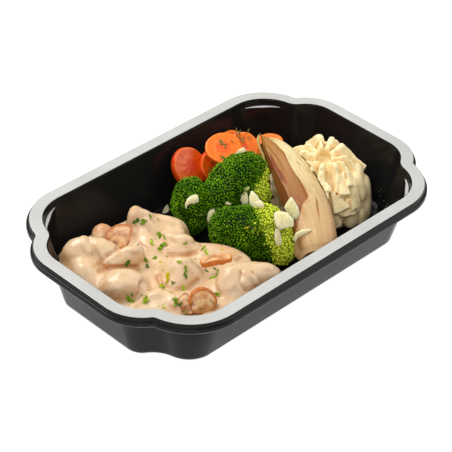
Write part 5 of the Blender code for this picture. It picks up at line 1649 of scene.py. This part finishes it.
def herbs():
    rng = np.random.default_rng(91)
    leaf_green, bright, yellow, dark = lin(136, 176, 10), lin(172, 206, 24), lin(222, 204, 30), lin(92, 132, 6)
    food_tree = ground(sauce_obj, broc_left, broc_middle, broc_front, *[o for o in bpy.data.objects if o.name.startswith("mushroom_")])
    heap = Heap()
    bits = [(580, 190, 2.6, 1.5, dark), (625, 190, 3.0, 1.1, leaf_green), (660, 160, 2.2, 1.2, leaf_green), (709, 176, 1.2, 1, bright),
            (720, 276, 4.4, 1.1, leaf_green), (672, 318, 2.4, 1.6, bright), (752, 285, 2.0, 1.2, leaf_green), (735, 342, 3.6, 1.5, leaf_green),
            (876, 320, 1.9, 1.2, leaf_green), (985, 352, 2.4, 1.6, leaf_green), (1000, 378, 2.6, 1.5, bright), (842, 430, 2.3, 1.0, bright),
            (636, 425, 3.4, 1.7, leaf_green), (650, 460, 2.0, 1.5, dark), (695, 412, 2.6, 1.0, leaf_green), (728, 435, 1.6, 1.2, yellow),
            (527, 440, 3.2, 1.1, dark), (880, 478, 2.4, 1.6, leaf_green), (876, 518, 2.0, 1.6, dark), (770, 533, 3.2, 1.9, yellow),
            (803, 558, 1.9, 1.0, dark), (740, 585, 2.4, 1.8, bright), (858, 596, 2.6, 1.5, bright), (1000, 490, 1.8, 1.1, dark),
            (1050, 476, 1.6, 1.1, dark), (1072, 498, 2.2, 1.6, leaf_green), (1045, 530, 2.8, 1.5, bright), (1068, 630, 2.6, 1.1, leaf_green),
            (540, 662, 3.4, 1.4, leaf_green), (556, 630, 1.6, 1.2, dark), (638, 664, 3.4, 1.1, bright), (612, 634, 1.2, 1.2, leaf_green),
            (652, 604, 1.0, 1.1, leaf_green), (822, 672, 3.8, 1.1, leaf_green), (842, 690, 2.6, 1.0, dark), (790, 620, 1.5, 1.4, bright),
            (745, 706, 1.6, 1.4, bright), (742, 484, 1.0, 1.0, bright), (764, 402, 1.2, 1.1, leaf_green), (936, 416, 1.0, 1.1, leaf_green),
            (885, 738, 1.4, 1.4, bright), (590, 330, 0.9, 1.0, dark), (900, 276, 0.9, 1.0, leaf_green), (446, 188, 1.0, 1.4, leaf_green),
            (712, 700, 0.9, 1.0, yellow), (1100, 362, 1.4, 1.4, yellow)]
    for x, y, size, long, tone in bits:
        where, normal = seen_at(food_tree, *low(x, y))
        if where is not None:
            sprig(heap, where + unit(normal) * 0.05, normal, size * 1.0, rng, tone, long)
    for x, y, size, long, tone in ((575, 770, 2.6, 1.8, yellow), (612, 785, 3.0, 1.6, lin(150, 160, 30)), (640, 800, 2.4, 1.3, lin(150, 160, 30)),
                                   (650, 772, 1.8, 1.4, yellow)):
        where, normal = seen_at(food_tree, *wide(x, y))
        if where is not None:
            sprig(heap, where + unit(normal) * 0.2, normal, size * 0.8, rng, tone, long)
    heap.build("parsley_bits", PARSLEY, "sauce", (), angle=50)

    # thyme: thin stalks with small leaves on the carrots, the chicory and the broccoli
    heap = Heap()
    veg = ground(broc_left, broc_middle, broc_front, chicory_obj, mash_obj, *[o for o in bpy.data.objects if o.name.startswith("carrot_")])
    green, brown = lin(104, 116, 44), lin(122, 96, 52)

    def blade(c, d, n, length, wide_, tone):
        d, n = unit(d), unit(n)
        s_ = np.cross(n, d)
        pts = []
        for x in np.linspace(0, 1, 6):
            hw_ = wide_ / 2 * math.sin(math.pi * (0.08 + 0.86 * x)) ** 0.7
            for y in (-1, 0, 1):
                pts.append(c + d * length * x + s_ * hw_ * y + n * (0.12 * wide_ * (abs(y) - 0.5) + 0.10 * length * x * x))
        top = np.array(pts)
        m = len(top)
        faces = []
        for i in range(5):
            for j in range(2):
                a_ = i * 3 + j
                faces += [(a_, a_ + 3, a_ + 4), (a_, a_ + 4, a_ + 1)]
        back = [(c_ + m, b_ + m, a_ + m) for a_, b_, c_ in faces]
        rim = [0, 1, 2, 5, 8, 11, 14, 17, 16, 15, 12, 9, 6, 3]
        for i, a_ in enumerate(rim):
            b_ = rim[(i + 1) % len(rim)]
            back += [(a_, b_, b_ + m), (a_, b_ + m, a_ + m)]
        heap.add(np.concatenate([top, top - n * 0.12]), np.array(faces + back), np.asarray(tone) * rng.uniform(0.7, 1.2))

    def twig(points, leaves, rise):
        where, normal = seen_at(veg, *big(*points[-1]))
        if where is None:
            return
        path = resample(np.array([on_plane(*big(x, y), where + TOWARDS * rise, TOWARDS) for x, y in points]), 9)
        p, f = tube(path, [0.24] * 6 + [0.2, 0.16, 0.12], 7)
        heap.add(p, f, brown)
        for q in range(leaves):
            k = rng.integers(0, len(path) - 1)
            d = unit(path[k + 1] - path[k])
            blade(path[k], unit(d * 0.5 + rng.normal(0, 0.7, 3)), unit(TOWARDS + rng.normal(0, 0.5, 3)), rng.uniform(1.0, 1.9), 0.8, green)

    twig([(862, 30), (850, 70), (862, 110), (880, 140)], 7, 1.0)
    twig([(905, 52), (890, 80), (876, 120)], 5, 1.0)
    twig([(1003, 42), (985, 70), (960, 110)], 4, 0.8)
    twig([(1110, 60), (1100, 90), (1090, 120)], 3, 0.6)
    for x, y, size in ((930, 160, 1.7), (905, 150, 1.3), (700, 195, 2.0), (732, 230, 1.7), (712, 214, 1.3), (680, 205, 1.2), (600, 435, 1.5),
                       (715, 365, 1.7), (700, 350, 1.3), (550, 500, 1.5), (560, 482, 1.2), (1470, 220, 2.2), (1452, 230, 1.4), (1370, 120, 1.5),
                       (655, 480, 1.2), (1000, 150, 1.2), (816, 190, 1.1)):
        where, normal = seen_at(veg, *big(x, y))
        if where is not None:
            a = rng.uniform(0, 6.28)
            n = unit(normal)
            d = unit(np.cross(n, (math.cos(a), math.sin(a), 0.3)))
            blade(where + n * 0.22, d, n, size * 1.35, size * 0.62, green)
            blade(where + n * 0.26, unit(-d + np.cross(n, d) * 0.8), n, size * 0.9, size * 0.5, green * 0.8)
    heap.build("thyme_bits", PARSLEY, "carrot", (), angle=50)

    # cooking juice drops on the tray's floor
    heap = Heap()
    floor_tree = ground(bpy.data.objects["tray_body"])
    for x, y, r in ((378.5, 192, 0.35), (380, 196, 0.3), (384, 201, 0.45), (376, 189, 0.25), (386, 206, 0.4), (387, 203.5, 0.3), (389, 204.5, 0.25),
                    (382.5, 206, 0.3), (385, 208.5, 0.35), (381, 190, 0.25)):
        where, normal = seen_at(floor_tree, x, y)
        if where is None or where[2] > 24:
            continue
        n = unit(normal)
        d = unit(np.cross(n, (0.4, 0.3, 0.8)))
        pts = (BALL[0] * np.array([r * 1.4, r * 0.8, 0.16])) @ np.array([d, np.cross(n, d), n]) + where + n * 0.08
        heap.add(pts, BALL[1], lin(150, 142, 120))
    heap.build("juice_drops", ONION, "tray", ())


herbs()


# =====================================================================================
# floor and light
# =====================================================================================
def stage():
    m = Nodes("floor_white")
    m.set(Base_Color=(0.45, 0.45, 0.45, 1.0), Roughness=0.9, Emission_Color=(1, 1, 1, 1), Emission_Strength=0.84)
    size = 9.0
    mesh = bpy.data.meshes.new("floor")
    mesh.from_pydata([(-size, -size, 0), (size, -size, 0), (size, size, 0), (-size, size, 0)], [], [(0, 1, 2, 3)])
    mesh.materials.append(m.mat)
    floor = bpy.data.objects.new("floor", mesh)
    bpy.context.scene.collection.objects.link(floor)


def area(name, place, target, size, power, colour=(1, 1, 1)):
    data = bpy.data.lights.new(name, "AREA")
    data.shape = "RECTANGLE"
    data.size, data.size_y = size
    data.energy = power
    data.color = colour
    obj = bpy.data.objects.new(name, data)
    bpy.context.scene.collection.objects.link(obj)
    obj.location = place
    obj.rotation_euler = (Vector(target) - Vector(place)).to_track_quat("-Z", "Y").to_euler()


def lights():
    world = bpy.data.worlds.new("studio")
    bpy.context.scene.world = world
    world.use_nodes = True
    back = world.node_tree.nodes["Background"]
    back.inputs["Color"].default_value = (1.0, 1.0, 1.0, 1.0)
    back.inputs["Strength"].default_value = 0.40
    area("softbox", (-0.10, 0.85, 1.10), (0, 0, 0.02), (0.75, 0.75), 16.5, (1.0, 0.985, 0.955))
    area("fill_right", (1.0, -0.7, 0.9), (0, 0, 0.02), (0.9, 0.9), 8.0)
    area("fill_front", (-0.9, -0.6, 1.0), (0, 0, 0.02), (0.9, 0.9), 8.0)


stage()
lights()
scene = bpy.context.scene
scene.view_settings.view_transform = "Standard"
scene.view_settings.look = "None"
